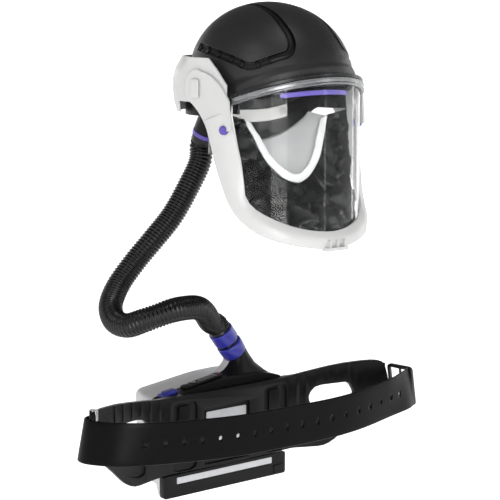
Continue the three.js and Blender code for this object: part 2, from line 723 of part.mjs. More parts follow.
// Outline of the blower's casing where it meets the wearer's side, and at its far back.
const BODY = [
  [HOUSING.left, HOUSING.bottom, 6], [HOUSING.left, -441, 6], [-104, -436, 4], [0, -419.4, 10],
  [70, -421, 20], [HOUSING.right, -433, 10], [HOUSING.right, HOUSING.bottom, 6],
];
const BODY_BACK = [
  [-88, HOUSING.bottom + 2, 8], [-91, -443, 6], [-84, -437, 4], [4, -426, 10],
  [60, -424, 20], [88, -437, 10], [88, HOUSING.bottom + 2, 8],
];
const CASING_TAPER = 0.33;           // how far the outline has drawn in at the casing's rear edge
const TOP_SLOPE = 9.1;               // degrees, rising towards the outlet

// The neck is wide where it leaves the housing and round where it meets the collar.
const NECK_ROWS = [
  { left: [21, -410], right: [59, -395], half: 18.5, square: 2.2 },
  { left: [14, -415.5], right: [68, -409], half: 21, square: 2.6 },
  { left: [4, -419.5], right: [84, -422], half: 23, square: 3 },
  { left: [-4, -425], right: [100, -432], half: 24, square: 3.5 },
  { left: [-4, -441], right: [100, -441], half: 24, square: 3.5 },
];

function neckRing(left, right, middleY, half, square) {
  const a = V(left[0], middleY, left[1]);
  const b = V(right[0], middleY, right[1]);
  const middle = a.clone().lerp(b, 0.5);
  const reach = b.sub(middle);
  return range(20, (k) => {
    const turn = (k * 2 * Math.PI) / 20;
    const power = (value) => Math.sign(value) * Math.abs(value) ** (2 / square);
    return middle.clone()
      .addScaledVector(reach, power(Math.cos(turn)))
      .add(V(0, half * power(Math.sin(turn)), 0));
  });
}

function neck() {
  const base = portPoint(-COLLAR_HALF - GAP);
  const across = V(Math.cos(rad(PORT.lean)), 0, Math.sin(rad(PORT.lean))).multiplyScalar(PORT.r - 0.4);
  const low = base.clone().sub(across);
  const high = base.clone().add(across);
  const collarRing = neckRing([low.x, low.z], [high.x, high.z], PORT.y, PORT.r - 0.4, 2);
  const middleY = (HOUSING.front + HOUSING.rear) / 2;
  const rows = NECK_ROWS.map((row, i) => (
    neckRing(row.left, row.right, lerp(PORT.y, middleY, (i + 1) / NECK_ROWS.length), row.half, row.square)
  ));
  return loft([collarRing, ...rows], ['x', 'y']);
}

const FAN = { x: 30, z: -486, r: 34 };
const KNUCKLE = { x: 104.2, y: HOUSING.rear + 0.2, r: 3.4, pin: 1.5 };
const KNUCKLE_SPANS = [[-466, -452], [-524, -510]];     // the housing's two; the cover's is between them

function knuckleRods(radius, grow, spans) {
  return spans.map(([low, high]) => (
    rod('z', radius, high - low + 2 * grow, [KNUCKLE.x, KNUCKLE.y, (low + high) / 2], 12)
  ));
}

const coverSpan = () => [[KNUCKLE_SPANS[1][1] + GAP, KNUCKLE_SPANS[0][0] - GAP]];

// The casing's outline as a ring of points at a depth, drawn in by a taper and a wall.
function bodyRing(y, taper, wall, radius = 6) {
  return rounded(inset(mixed(BODY, BODY_BACK, taper), wall), radius, 2).map((p) => V(p.x, y, p.y));
}

function airway() {
  const top = [4, -COLLAR_HALF - 4].map((h) => portPoint(h).toArray());
  return pipe(curveOf([...top, [52, 136, -418], [54, 136, -434]]), PORT.bore, 8, 12);
}

// One side of the casing is dark and the other light; they meet through the middle of the neck.
function blowerHousing() {
  const { front, split, wall } = HOUSING;
  const body = slab(roundedShape(BODY, 6, 2), front, split);
  const room = slab(roundedShape(inset(BODY, wall), 3, 2), front + wall, split + 8);
  const halfNeck = overlap(neck(), box(300, split - 60, 300, [0, (split + 60) / 2, -420]));
  const posts = [[-92, -512], [-33, -512], [-92, -458], [-33, -458]].map(([x, z]) => (
    rod('y', 3, 3.2, [x, front + wall + 1, z], 8)
  ));
  return join(cut(join(body, halfNeck), room, airway()), ...posts);
}

function rearCasing() {
  const { split, rear, wall } = HOUSING;
  const start = split + GAP;
  const rows = (grow, first, last) => loft([
    bodyRing(first, 0, grow),
    bodyRing(lerp(start, rear, 0.5), CASING_TAPER * 0.35, grow),
    bodyRing(last, CASING_TAPER, grow),
  ]);
  const halfNeck = overlap(neck(), box(300, 100, 300, [0, start + 50, -420]));
  const hollow = cut(join(rows(0, start, rear), halfNeck), rows(wall, start - 4, rear + 4), airway());
  return cut(
    join(hollow, ...knuckleRods(KNUCKLE.r, 0, KNUCKLE_SPANS)),
    ...knuckleRods(KNUCKLE.r + GAP, GAP, coverSpan()),
    ...knuckleRods(KNUCKLE.pin + GAP, 0, [[-530, -446]]),
  );
}

function fanScroll() {
  const shape = new THREE.Shape();
  const open = { from: 42, to: 88 };   // degrees from +X, where the air leaves for the neck
  shape.absarc(0, 0, FAN.r + 9, rad(open.to), rad(open.from + 360), false);
  shape.absarc(0, 0, FAN.r + 6.5, rad(open.from + 360), rad(open.to), true);
  return slab(shape, 115, 146, 10).translate(FAN.x, 0, FAN.z);
}

function impeller() {
  const back = rod('y', FAN.r, 2, [0, 128.5, 0], 28);
  const hub = rod('y', 9, 15, [0, 135.5, 0], 16);
  const shaft = rod('y', 3, 8, [0, 124.5, 0], 12);
  const blades = range(9, (k) => (
    box(19, 13, 1.6, [20, 135.5, 0]).rotateY(rad(18)).translate(2, 0, 0).rotateY((k * 2 * Math.PI) / 9)
  ));
  return join(back, hub, shaft, ...blades).translate(FAN.x, 0, FAN.z);
}

function addBlower() {
  add('blower_housing', blowerHousing(), black);
  add('rear_casing', rearCasing(), coverGrey);
  add('fan_scroll', fanScroll(), black);
  const motorBody = rod('y', 20, 12, [FAN.x, 121, FAN.z], 24);
  add('motor', cut(motorBody, rod('y', 3 + GAP, 10, [FAN.x, 124.8, FAN.z], 12)), steel);
  add('impeller', impeller(), coverGrey);

  const plate = loft([150, 152.6].map((y) => bodyRing(y, CASING_TAPER, HOUSING.wall + GAP, 3)));
  add('suction_plate', cut(plate, rod('y', 24, 10, [FAN.x, 151, FAN.z], 20)), black);
  add('circuit_board', box(68, 1.6, 62, [-62.5, 118.3, -485]), boardGreen);
}

// ---------------------------------------------------------------- controls on the housing's sloped top

// A place on the top: along the slope from its low end, depth from the front, and height above it.
function onTop(s, y, h) {
  const c = Math.cos(rad(TOP_SLOPE));
  const k = Math.sin(rad(TOP_SLOPE));
  return { at: [-104 + s * c - h * k, y, -436 + s * k + h * c], turn: [0, -TOP_SLOPE, 0] };
}

// A rounded plate lying on the slope, from one height to another.
function topPlate(length, depth, low, high, radius = 2) {
  return new THREE.ExtrudeGeometry(roundedRect(length, depth, radius), {
    depth: high - low, bevelEnabled: false, curveSegments: 2,
  }).translate(0, 0, low);
}

const PANEL = { s: 75, y: 125.4, length: 68, depth: 15, high: 3 };
const BUTTONS = [{ name: 'power_button', s: 50, size: 8 }, { name: 'flow_button', s: 61, size: 8 }];
const DISPLAY = { s: 85, length: 30, depth: 10.5 };

function addControls() {
  const holes = BUTTONS.map((button) => (
    topPlate(button.size + 2 * GAP, 10 + 2 * GAP, -1, 5).translate(button.s - PANEL.s, 0, 0)
  ));
  const pocket = topPlate(DISPLAY.length + 2 * GAP, DISPLAY.depth + 2 * GAP, 1.6, 5)
    .translate(DISPLAY.s - PANEL.s, 0, 0);
  const lampHole = topPlate(2.4 + 2 * GAP, 5 + 2 * GAP, 1.6, 5, 1).translate(30, 0, 0);
  const plate = topPlate(PANEL.length, PANEL.depth, GAP, PANEL.high, 5);
  add('control_panel', cut(plate, pocket, lampHole, ...holes), coverGrey, onTop(PANEL.s, PANEL.y, 0));
  add('display_window', topPlate(DISPLAY.length, DISPLAY.depth, 1.6 + GAP, PANEL.high + 0.1), glass,
    onTop(DISPLAY.s, PANEL.y, 0));
  add('alarm_light', topPlate(2.4, 5, 1.6 + GAP, PANEL.high + 0.4, 1), red, onTop(PANEL.s + 30, PANEL.y, 0));
  BUTTONS.forEach((button) => {
    add(button.name, topPlate(button.size, 10, 1.5, PANEL.high + 0.8), black, onTop(button.s, PANEL.y, 0));
  });

  const low = topPlate(9, 15, GAP, 3);
  const high = topPlate(19, 15, GAP, 4.6).translate(11, 0, 0);
  const notch = rod('y', 2.4, 40, [1.6, 0, 5.2], 12);
  add('cover_latch', cut(join(low, high), notch), blue, onTop(8, 125.4, 0));
}

// ---------------------------------------------------------------- filter cover and what it holds

const COVER_WALL = 2.5;

// Cross-sections of the cover from its open front to its back: depth, taper, edge rounding.
const COVER_ROWS = [[0, CASING_TAPER, 0], [15, 0.5, 0], [31, 0.78, 0], [38.5, 0.95, 1.5], [42.6, 1, 6]];

function coverSolid(wall) {
  const front = HOUSING.rear + 0.4;
  const rows = COVER_ROWS.map(([depth, taper, edge]) => (
    bodyRing(front + depth - (depth > 30 ? wall : 0), taper, edge + wall)
  ));
  if (wall > 0) rows.unshift(bodyRing(front - 3, CASING_TAPER, wall));
  return loft(rows);
}

function filterCover() {
  const louvres = range(7, (k) => box(3.2, 30, 46, [-60 + 12 * k, COVER_REAR, -488]));
  const shell = cut(coverSolid(0), coverSolid(COVER_WALL), ...louvres);
  const knuckle = knuckleRods(KNUCKLE.r, 0, coverSpan());
  return cut(
    join(shell, ...knuckle),
    ...knuckleRods(KNUCKLE.r + GAP, GAP, KNUCKLE_SPANS),
    ...knuckleRods(KNUCKLE.pin + GAP, 0, [[-530, -446]]),
  );
}

function plateRing(w, h, width, y0, y1) {
  const shape = roundedRect(w, h, 6);
  shape.holes.push(roundedRect(w - 2 * width, h - 2 * width, 3));
  return slab(shape, y0, y1, 3);
}

const FILTER = { w: 162, h: 74, z: -489 };

function addFilters() {
  add('filter_cover', filterCover(), coverGrey);
  add('cover_hinge_pin', rod('z', KNUCKLE.pin, 72, [KNUCKLE.x, KNUCKLE.y, -488], 12), steel);
  const centred = (geometry) => geometry.translate(0, 0, FILTER.z);
  add('filter_seal', centred(plateRing(FILTER.w, FILTER.h, 4, 152.6 + GAP, 160)), rubber);
  const pad = (trim, y0, y1) => (
    centred(slab(roundedRect(FILTER.w - trim, FILTER.h - trim, 6), y0, y1, 3))
  );
  add('particulate_filter', pad(0, 160 + GAP, 185), filterWhite);
  add('prefilter', pad(8, 185 + GAP, 191), filterWhite);
  add('spark_arrestor', pad(8, 191 + GAP, 192.6), steel);
}

// ---------------------------------------------------------------- battery

function addBattery() {
  const { left, right, front, top, bottom } = BATTERY;
  const middle = (top + bottom) / 2;
  const outline = [[left, bottom, 4], [left, top, 3], [right, top, 3], [right, bottom, 4]];
  const label = { left: -89, right: 79, top: -546, bottom: -555 };
  const labelBox = (grow, y0, y1) => slab(roundedShape([
    [label.left - grow, label.bottom - grow], [label.left - grow, label.top + grow],
    [label.right + grow, label.top + grow], [label.right + grow, label.bottom - grow],
  ], 1), y0, y1);
  const tab = (grow, y0, y1) => box(14 + 2 * grow, y1 - y0, 12 + 2 * grow, [90, (y0 + y1) / 2, bottom + 8]);
  const frontCase = slab(roundedShape(outline, 4), front, front + 10);
  const recesses = [labelBox(GAP, front - 5, front + 1), tab(GAP, front - 5, front + 6)];
  add('battery_front', cut(frontCase, ...recesses), black);
  add('battery_label', labelBox(0, front + 0.2, front + 0.7), labelSilver);
  add('battery_latch', tab(0, front - 1, front + 3), black);

  const ring = ([x0, x1], low, high, y) => rounded([
    [x0, low, 9], [x0, high, 5], [x1, high, 5], [x1, low, 9],
  ], 5).map((p) => V(p.x, y, p.y));
  const startY = front + 10 + GAP;
  add('battery_rear', loft([
    ring([left - 1, right + 1], bottom, top - 0.4, startY),
    ring([left - 1, right + 1], bottom, top - 0.4, startY + 3),
    ring([left + 27, right - 20], bottom, top - 0.4, startY + 48),
    ring([left + 33, right - 26], middle - 13, top - 0.4, 192),
  ]), coverGrey);
}

// ---------------------------------------------------------------- back frame

// The wearer's face of the frame: flat in the middle, curving forward round the hips.
function frameFace(x) {
  const out = Math.max(Math.abs(x) - BODY_HALF, 0) / (WING_END - BODY_HALF);
  return FRAME_FACE_Y - WING_SWEEP * out ** 2;
}

function frameThickness(x) {
  return lerp(FRAME_T, WING_T, smooth(Math.abs(x), BODY_HALF + 1, BODY_HALF + 14));
}

// A curved layer that follows the wearer's face, between two depths behind it.
function faceLayer(from, to) {
  const depth = (d) => (u, v) => {
    const x = lerp(-285, 285, u);
    return V(x, frameFace(x) + (typeof d === 'function' ? d(x) : d), lerp(-560, -400, v));
  };
  return skin(depth(to), depth(from), 48, 1);
}

const FRAME_HALF = [
  [0, FRAME_TOP], [BODY_HALF, FRAME_TOP, 12], [150, -428, 20], [200, -422, 20], [242, -420, 12],
  [253, -422, 6], [257, -432, 6], [268, -484, 5], [252, -487, 14], [233, -492, 16],
  [205, -515, 20], [185, -534, 12], [167, -542, 10], [140, -540, 10], [112, -537, 6], [0, FRAME_BOTTOM + 1],
];
const HAND_HOLE = [
  [140, -466], [150, -451, 12], [206, -450, 6], [215, -466, 4], [211, -482, 5], [148, -484, 6],
];
const LOWER_POCKET = [[150, -494], [216, -495], [197, -512], [178, -526, 8], [160, -531, 8], [147, -528]];
const LABEL = { left: -40, right: 30, top: -461, bottom: -506 };

// Draws an outline on one side of the frame or mirrors it to the other.
function onSide(points, side) {
  const placed = points.map(([x, z, own]) => [side * x, z, own]);
  return side > 0 ? placed : placed.reverse();
}

function backFrame() {
  const outline = [...FRAME_HALF, ...FRAME_HALF.slice(1, -1).reverse().map(([x, z, own]) => [-x, z, own])];
  const through = (points, radius) => slab(roundedShape(points, radius, 2), 30, 130);
  const rect = (x0, x1, z0, z1) => [[x0, z0], [x0, z1], [x1, z1], [x1, z0]];
  const layer = (from, to, points, radius) => overlap(faceLayer(from, to), through(points, radius));

  const ribs = [-1, 1].flatMap((side) => range(6, (k) => {
    const x = 120 + 17 * k;
    return layer(-1, 2, onSide(rect(x, x + 2.2, -447, -410), side), 0.5);
  }));
  const body = overlap(join(faceLayer(0, frameThickness), ...ribs), through(outline, 6));

  const pockets = [layer(-6, 5, rect(-47, 34, -534, -454), 4)];
  const lugs = [];
  for (const side of [-1, 1]) {
    pockets.push(through(onSide(HAND_HOLE, side), 6));
    pockets.push(layer(-6, 3.2, onSide(LOWER_POCKET, side), 6));
    pockets.push(layer(-6, 4, onSide(rect(58, 102, -536, -439), side), 12));
    lugs.push(layer(1, 6, onSide(rect(70, 89, -524, -446), side), 4));
  }
  return join(cut(body, ...pockets), ...lugs);
}

// A bent steel clip over the top edge of the right wing, where the strap loops round.
function strapClip() {
  const reach = WING_T + 2.4;
  const plates = [
    box(7, 1.2, 14, [0, -1, -6]),
    box(7, 1.2, 14, [0, reach - 1.4, -6]),
    box(7, reach + 0.8, 1.2, [0, reach / 2 - 1.2, 1.2]),
  ];
  return join(...plates);
}

function addBackFrame() {
  add('back_frame', backFrame(), black);
  const plate = roundedRect(
    LABEL.right - LABEL.left, LABEL.top - LABEL.bottom, 2,
    (LABEL.left + LABEL.right) / 2, (LABEL.top + LABEL.bottom) / 2,
  );
  const label = slab(plate, FRAME_FACE_Y + 3.6, FRAME_FACE_Y + 5 - GAP, 3);
  add('frame_label', label, labelSilver);
  const x = -247;
  const slope = (2 * WING_SWEEP * (-x - BODY_HALF)) / (WING_END - BODY_HALF) ** 2;
  const turn = THREE.MathUtils.radToDeg(Math.atan(slope));
  add('strap_clip', strapClip(), steel, { at: [x, frameFace(x), -419.6], turn: [0, 0, turn] });
}

// ---------------------------------------------------------------- waist strap and buckle

const STRAP_PLAN = [
  [-236, 84], [-250, 81], [-261, 75], [-266.5, 66], [-267, 55], [-260, 40], [-246, 22], [-222, 6], [-190, -6],
  [-135, -17], [-70, -26], [0, -30], [70, -31], [130, -26], [190, -13], [226, -2], [252, 8], [269, 18],
];
const LOOP_PLAN = [[267.5, 69], [262, 76], [253, 80], [238, 85]];
const BUCKLE = {
  x: 273.5, y: 41, z: -457, heading: 97, length: 45, height: 60, bar: 4.6, depth: 4.4, lean: 10,
};
const STRAP_DROP = 6;                // the strap's middle hangs this much lower than its ends
const STRAP_END_Z = -455;
const HOLES = { count: 18, start: 0.204, pitch: 0.0424, r: 3 };

function strapPoint(line, u, v, offset) {
  const p = line.getPointAt(u);
  const t = line.getTangentAt(u);
  const across = (v - 0.5) * STRAP_W;
  const splay = -across * Math.tan(rad(10)) * smooth(Math.abs(p.x), 190, 262);
  const outward = V(t.y, -t.x, 0).normalize();
  const z = STRAP_END_Z - STRAP_DROP * (1 - smooth(Math.abs(p.x), 60, 270)) + across;
  return V(p.x, p.y, z).addScaledVector(outward, offset + splay);
}

function strapBand(plan, steps) {
  const line = curveOf(plan.map(([x, y]) => [x, y, 0]));
  const face = (offset) => (u, v) => strapPoint(line, u, v, offset);
  return { line, band: skin(face(STRAP_T / 2), face(-STRAP_T / 2), steps, 1) };
}

function addStrap() {
  const { line, band } = strapBand(STRAP_PLAN, 56);
  const holes = range(HOLES.count, (k) => {
    const u = HOLES.start + k * HOLES.pitch;
    const along = line.getTangentAt(u);
    const across = new THREE.Quaternion().setFromUnitVectors(V(0, 1, 0), V(along.y, -along.x, 0).normalize());
    return rod('y', HOLES.r, 16, [0, 0, 0], 8)
      .applyQuaternion(across)
      .translate(...strapPoint(line, u, 0.5, 0).toArray());
  });
  add('waist_strap', cut(band, ...holes), strapBlack);
  add('end_loop_left', strapBand(LOOP_PLAN, 10).band, strapBlack);
}

function addBuckle() {
  const { length, height, bar, depth, lean } = BUCKLE;
  const onBuckle = { at: [BUCKLE.x, BUCKLE.y, BUCKLE.z], turn: [0, 0, BUCKLE.heading] };
  const middleBar = rod('z', 2, height - bar, [0, 0, 0], 12);
  const ring = join(plateRing(length, height, bar, -depth / 2, depth / 2), middleBar);
  const eye = cut(rod('z', 3.7, 5, [0, 0, 0], 14), rod('z', 2 + GAP, 8, [0, 0, 0], 14));
  const finger = box(length / 2, 2.3, 3, [length / 4 + 1, -depth / 2 - GAP - 1.2, 0]);
  const bore = rod('z', 2 + GAP, 8, [0, 0, 0], 14);
  add('buckle_frame', ring.rotateX(rad(-lean)), steel, onBuckle);
  add('buckle_prong', cut(join(eye, finger), bore).rotateX(rad(-lean)), steel, onBuckle);
}

// ---------------------------------------------------------------- assemble

addHelmet();
addDuct();
addHarness();
addDeflector();
addVisor();
addFaceSeal();
addHose();
addBlower();
addControls();
addFilters();
addBattery();
addBackFrame();
addStrap();
addBuckle();

export default part;
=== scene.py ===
"""Powered air respirator: the looks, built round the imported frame.

The wearer faces -Y and the wearer's left is +X. Metres, +Z up.
"""
import json
import math

import bmesh
import bpy
from mathutils import Matrix, Vector, noise


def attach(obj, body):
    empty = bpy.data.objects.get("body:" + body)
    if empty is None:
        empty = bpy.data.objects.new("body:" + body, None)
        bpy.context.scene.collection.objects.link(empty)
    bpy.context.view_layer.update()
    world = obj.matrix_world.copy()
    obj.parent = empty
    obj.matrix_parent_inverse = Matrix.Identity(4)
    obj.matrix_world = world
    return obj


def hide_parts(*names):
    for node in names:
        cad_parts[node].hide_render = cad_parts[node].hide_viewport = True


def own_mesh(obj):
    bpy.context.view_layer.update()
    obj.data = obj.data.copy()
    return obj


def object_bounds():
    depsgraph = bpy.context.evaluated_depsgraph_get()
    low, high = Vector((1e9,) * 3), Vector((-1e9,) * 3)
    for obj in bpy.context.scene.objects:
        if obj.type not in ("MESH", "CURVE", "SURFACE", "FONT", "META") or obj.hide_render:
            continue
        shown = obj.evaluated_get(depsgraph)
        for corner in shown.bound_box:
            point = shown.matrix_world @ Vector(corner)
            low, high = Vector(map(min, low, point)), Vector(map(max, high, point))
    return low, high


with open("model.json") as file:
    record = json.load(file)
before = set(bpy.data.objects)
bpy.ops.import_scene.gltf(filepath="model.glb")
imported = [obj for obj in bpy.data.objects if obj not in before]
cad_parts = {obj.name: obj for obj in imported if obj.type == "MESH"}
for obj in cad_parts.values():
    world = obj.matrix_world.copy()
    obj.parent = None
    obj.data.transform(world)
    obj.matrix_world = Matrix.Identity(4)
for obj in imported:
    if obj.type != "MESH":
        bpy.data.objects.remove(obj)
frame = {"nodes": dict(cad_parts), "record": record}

scene = bpy.context.scene
CAD_LOW, CAD_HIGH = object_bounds()


# ---- camera

CAMERA_AZIMUTH = math.radians(-39)
CAMERA_ELEVATION = math.radians(8.5)
CAMERA_DISTANCE = 2.2
CAMERA_TARGET = Vector((-0.019, 0.0324, -0.2296))
CAMERA_LENS = 119.1
CAMERA_REACH = 900      # far enough to take in the whole stage


def towards(azimuth, elevation):
    """The direction out from the object at an angle round it and an angle up."""
    flat = math.cos(elevation)
    return Vector((math.sin(azimuth) * flat, -math.cos(azimuth) * flat, math.sin(elevation)))


def linked(data):
    """Puts a mesh, a lamp or the camera in the scene, as an object of the same name."""
    made = bpy.data.objects.new(data.name, data)
    scene.collection.objects.link(made)
    return made


def add_camera():
    data = bpy.data.cameras.new("camera")
    data.lens = CAMERA_LENS
    data.clip_end = CAMERA_REACH
    camera = linked(data)
    back = towards(CAMERA_AZIMUTH, CAMERA_ELEVATION)
    camera.location = CAMERA_TARGET + back * CAMERA_DISTANCE
    camera.rotation_euler = back.to_track_quat("Z", "Y").to_euler()
    scene.camera = camera


add_camera()


# ---- curves and meshes

SPAN_STEPS = 24         # places worked out between two points of a smooth line
EDGE_STEPS = 3          # columns over which a band's edge is rounded off
EDGE_SHARE = 0.25       # thickness left at the very edge
CRISP_ANGLE = 34        # edges sharper than this, in degrees, stay crisp


def smooth_line(points, steps):
    """Evenly spaced points on a centripetal Catmull-Rom curve through the given points."""
    points = [Vector(p) for p in points]
    first = points[0] * 2 - points[1]
    last = points[-1] * 2 - points[-2]
    chain = [first, *points, last]
    fine = []
    for a, b, c, d in zip(chain, chain[1:], chain[2:], chain[3:]):
        ab, bc, cd = (math.sqrt((q - p).length) for p, q in ((a, b), (b, c), (c, d)))
        start = (c - b) + ((b - a) / ab - (c - a) / (ab + bc)) * bc
        end = (c - b) + ((d - c) / cd - (d - b) / (bc + cd)) * bc
        for k in range(SPAN_STEPS):
            t = k / SPAN_STEPS
            fine.append(
                b * (2 * t**3 - 3 * t**2 + 1) + start * (t**3 - 2 * t**2 + t)
                + c * (3 * t**2 - 2 * t**3) + end * (t**3 - t**2)
            )
    fine.append(points[-1])
    return evenly(fine, steps)


def reaches(points):
    """How far along a line each of its points is."""
    out = [0.0]
    for a, b in zip(points, points[1:]):
        out.append(out[-1] + (b - a).length)
    return out


def evenly(points, steps):
    """The same line as steps + 1 points at equal distances."""
    reach = reaches(points)
    out = []
    k = 0
    for i in range(steps + 1):
        goal = reach[-1] * i / steps
        while k < len(points) - 2 and reach[k + 1] < goal:
            k += 1
        share = (goal - reach[k]) / max(reach[k + 1] - reach[k], 1e-9)
        out.append(points[k].lerp(points[k + 1], min(share, 1.0)))
    return out


def line_length(points):
    return sum((b - a).length for a, b in zip(points, points[1:]))


def mirrored(points):
    """A half line that ends on the middle, carried on to the other side."""
    return [*points, *[(-p[0], *p[1:]) for p in reversed(points[:-1])]]


def smoothstep(value, low, high):
    """0 below low, 1 above high, and an easy curve between them."""
    t = min(max((value - low) / (high - low), 0.0), 1.0)
    return t * t * (3 - 2 * t)


def dress(piece, slot, body, replaces=()):
    """Gives a piece its slot's finish, makes it ride on a body, and hides the nodes it stands for."""
    piece.data.materials.clear()
    piece.data.materials.append(FINISHES[slot])
    piece.data.shade_smooth()
    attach(piece, body)
    if replaces:
        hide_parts(*replaces)


def new_piece(mesh, slot, body, replaces=()):
    piece = linked(mesh)
    dress(piece, slot, body, replaces)
    return piece


def mesh_of(name, points, faces, corner_uvs=None):
    mesh = bpy.data.meshes.new(name)
    mesh.from_pydata([tuple(p) for p in points], [], faces)
    if corner_uvs:
        layer = mesh.uv_layers.new(name="cloth")
        for loop, uv in zip(layer.data, (uv for face in corner_uvs for uv in face)):
            loop.uv = uv
    outward(mesh)
    return mesh


def outward(mesh):
    """Turns every face to point out."""
    work = bmesh.new()
    work.from_mesh(mesh)
    bmesh.ops.recalc_face_normals(work, faces=work.faces)
    work.to_mesh(mesh)
    work.free()


def grid_normals(rows):
    """The way out of a grid of points, at each of them."""
    last = len(rows) - 1
    end = len(rows[0]) - 1
    out = []
    for i in range(last + 1):
        line = []
        for j in range(end + 1):
            along = rows[min(i + 1, last)][j] - rows[max(i - 1, 0)][j]
            across = rows[i][min(j + 1, end)] - rows[i][max(j - 1, 0)]
            line.append(along.cross(across).normalized())
        out.append(line)
    return out


def sheet_mesh(name, rows, half):
    """A closed body round a grid of points; half(i, j) is half its thickness.

    Its UVs are lengths along and across the cloth, in metres.
    """
    last = len(rows) - 1
    end = len(rows[0]) - 1
    normals = grid_normals(rows)
    points = [
        rows[i][j] + normals[i][j] * side * half(i, j)
        for side in (1, -1) for i in range(last + 1) for j in range(end + 1)
    ]
    along = reaches([row[len(row) // 2] for row in rows])
    across = reaches(rows[len(rows) // 2])
    faces = []
    uvs = []

    def quad(*corners):
        faces.append([(side * (last + 1) + i) * (end + 1) + j for i, j, side in corners])
        uvs.append([(along[i], across[j]) for i, j, _ in corners])

    for i in range(last):
        for j in range(end):
            quad((i, j, 0), (i + 1, j, 0), (i + 1, j + 1, 0), (i, j + 1, 0))
            quad((i, j, 1), (i, j + 1, 1), (i + 1, j + 1, 1), (i + 1, j, 1))
        quad((i, 0, 0), (i, 0, 1), (i + 1, 0, 1), (i + 1, 0, 0))
        quad((i, end, 0), (i + 1, end, 0), (i + 1, end, 1), (i, end, 1))
    for j in range(end):
        quad((0, j, 0), (0, j + 1, 0), (0, j + 1, 1), (0, j, 1))
        quad((last, j, 0), (last, j, 1), (last, j + 1, 1), (last, j + 1, 0))
    return mesh_of(name, points, faces, uvs)


def rounded_half(width, thick):
    """Half thickness across a band whose two edges are rounded off over a few columns."""
    def half(_, j):
        inside = min(j, width - 1 - j)
        if inside >= EDGE_STEPS:
            return thick / 2
        return thick / 2 * (EDGE_SHARE + (1 - EDGE_SHARE) * math.sin(math.pi / 2 * inside / EDGE_STEPS))
    return half


def edge_columns(width, rim, count):
    """Places across a band, 0 to 1, crowded at its two edges over the rim's width."""
    near = [rim / width * k / EDGE_STEPS for k in range(EDGE_STEPS)]
    middle = [rim / width + (1 - 2 * rim / width) * k / count for k in range(count + 1)]
    return [*near, *middle, *[1 - v for v in reversed(near)]]


def tube_frames(line):
    """Two directions across a line at each of its points, carried along without twist."""
    side = Vector((1, 0, 0))
    out = []
    for i, _ in enumerate(line):
        along = (line[min(i + 1, len(line) - 1)] - line[max(i - 1, 0)]).normalized()
        side = (side - along * side.dot(along)).normalized()
        out.append((side, along.cross(side)))
    return out


def ring_faces(rings, sides):
    """The faces between rings of points, each ring closed on itself."""
    return [
        [i * sides + k, i * sides + (k + 1) % sides, (i + 1) * sides + (k + 1) % sides, (i + 1) * sides + k]
        for i in range(rings - 1) for k in range(sides)
    ]


def tube_mesh(name, line, radius_at, sides):
    """A round tube with capped ends; radius_at(i) is its radius at each point of the line."""
    points = []
    for i, (centre, (a, b)) in enumerate(zip(line, tube_frames(line))):
        for k in range(sides):
            turn = 2 * math.pi * k / sides
            points.append(centre + (a * math.cos(turn) + b * math.sin(turn)) * radius_at(i))
    faces = ring_faces(len(line), sides)
    faces.append(list(reversed(range(sides))))
    faces.append([(len(line) - 1) * sides + k for k in range(sides)])
    return mesh_of(name, points, faces)


def apply_modifiers(piece):
    graph = bpy.context.evaluated_depsgraph_get()
    shape = bpy.data.meshes.new_from_object(piece.evaluated_get(graph))
    piece.modifiers.clear()
    piece.data = shape


def cut_by(piece, tools):
    """Cuts solids out of a piece, and removes them; a cut face takes its tool's material."""
    for tool in tools:
        cut = piece.modifiers.new("cut", "BOOLEAN")
        cut.operation = "DIFFERENCE"
        cut.object = tool
        cut.solver = "EXACT"
        cut.material_mode = "TRANSFER"
    apply_modifiers(piece)
    for tool in tools:
        bpy.data.objects.remove(tool)


def mark_edges(mesh, crisp_above):
    """Keeps every edge sharper than an angle crisp."""
    work = bmesh.new()
    work.from_mesh(mesh)
    limit = math.radians(crisp_above)
    for edge in work.edges:
        edge.smooth = edge.calc_face_angle(0.0) < limit
    work.to_mesh(mesh)
    work.free()


def bare_mesh(node):
    """A node's shape with shared corners and whole flat faces."""
    work = bmesh.new()
    work.from_mesh(frame["nodes"][node].data)
    bmesh.ops.remove_doubles(work, verts=work.verts, dist=1e-6)
    bmesh.ops.dissolve_limit(work, angle_limit=math.radians(0.5), verts=work.verts, edges=work.edges)
    points = [v.co.copy() for v in work.verts]
    faces = [[v.index for v in face.verts] for face in work.faces]
    work.free()
    mesh = bpy.data.meshes.new(node + "_finished")
    mesh.from_pydata(points, [], faces)
    return mesh


def finished_copy(node, bevel):
    """Stands for a node: the same shape, smooth except over real edges, which may be rounded off."""
    piece = linked(bare_mesh(node))
    if bevel:
        ease = piece.modifiers.new("ease", "BEVEL")
        ease.width = bevel
        ease.segments = 2
        ease.limit_method = "ANGLE"
        ease.angle_limit = math.radians(40)
        apply_modifiers(piece)
    dress(piece, SLOTS[node], BODY_OF[node], [node])
    mark_edges(piece.data, CRISP_ANGLE)


# ---- shader helpers

def add_node(tree, kind, inputs=None, **settings):
    """Adds a shader node; an input given as a socket is linked, any other value is set."""
    made = tree.nodes.new("ShaderNode" + kind)
    for key, value in settings.items():
        setattr(made, key, value)
    for key, value in (inputs or {}).items():
        if isinstance(value, bpy.types.NodeSocket):
            tree.links.new(value, made.inputs[key])
        else:
            made.inputs[key].default_value = value
    return made


def new_material(**sockets):
    """A material, its node tree and its shader, with the same value all over for the given sockets."""
    material = bpy.data.materials.new("finish")
    material.use_nodes = True
    tree = material.node_tree
    shader = tree.nodes["Principled BSDF"]
    for key, value in sockets.items():
        shader.inputs[key.replace("_", " ")].default_value = value
    return material, tree, shader


def object_place(tree):
    return add_node(tree, "TexCoord").outputs["Object"]


def cloth_place(tree):
    return add_node(tree, "TexCoord").outputs["UV"]


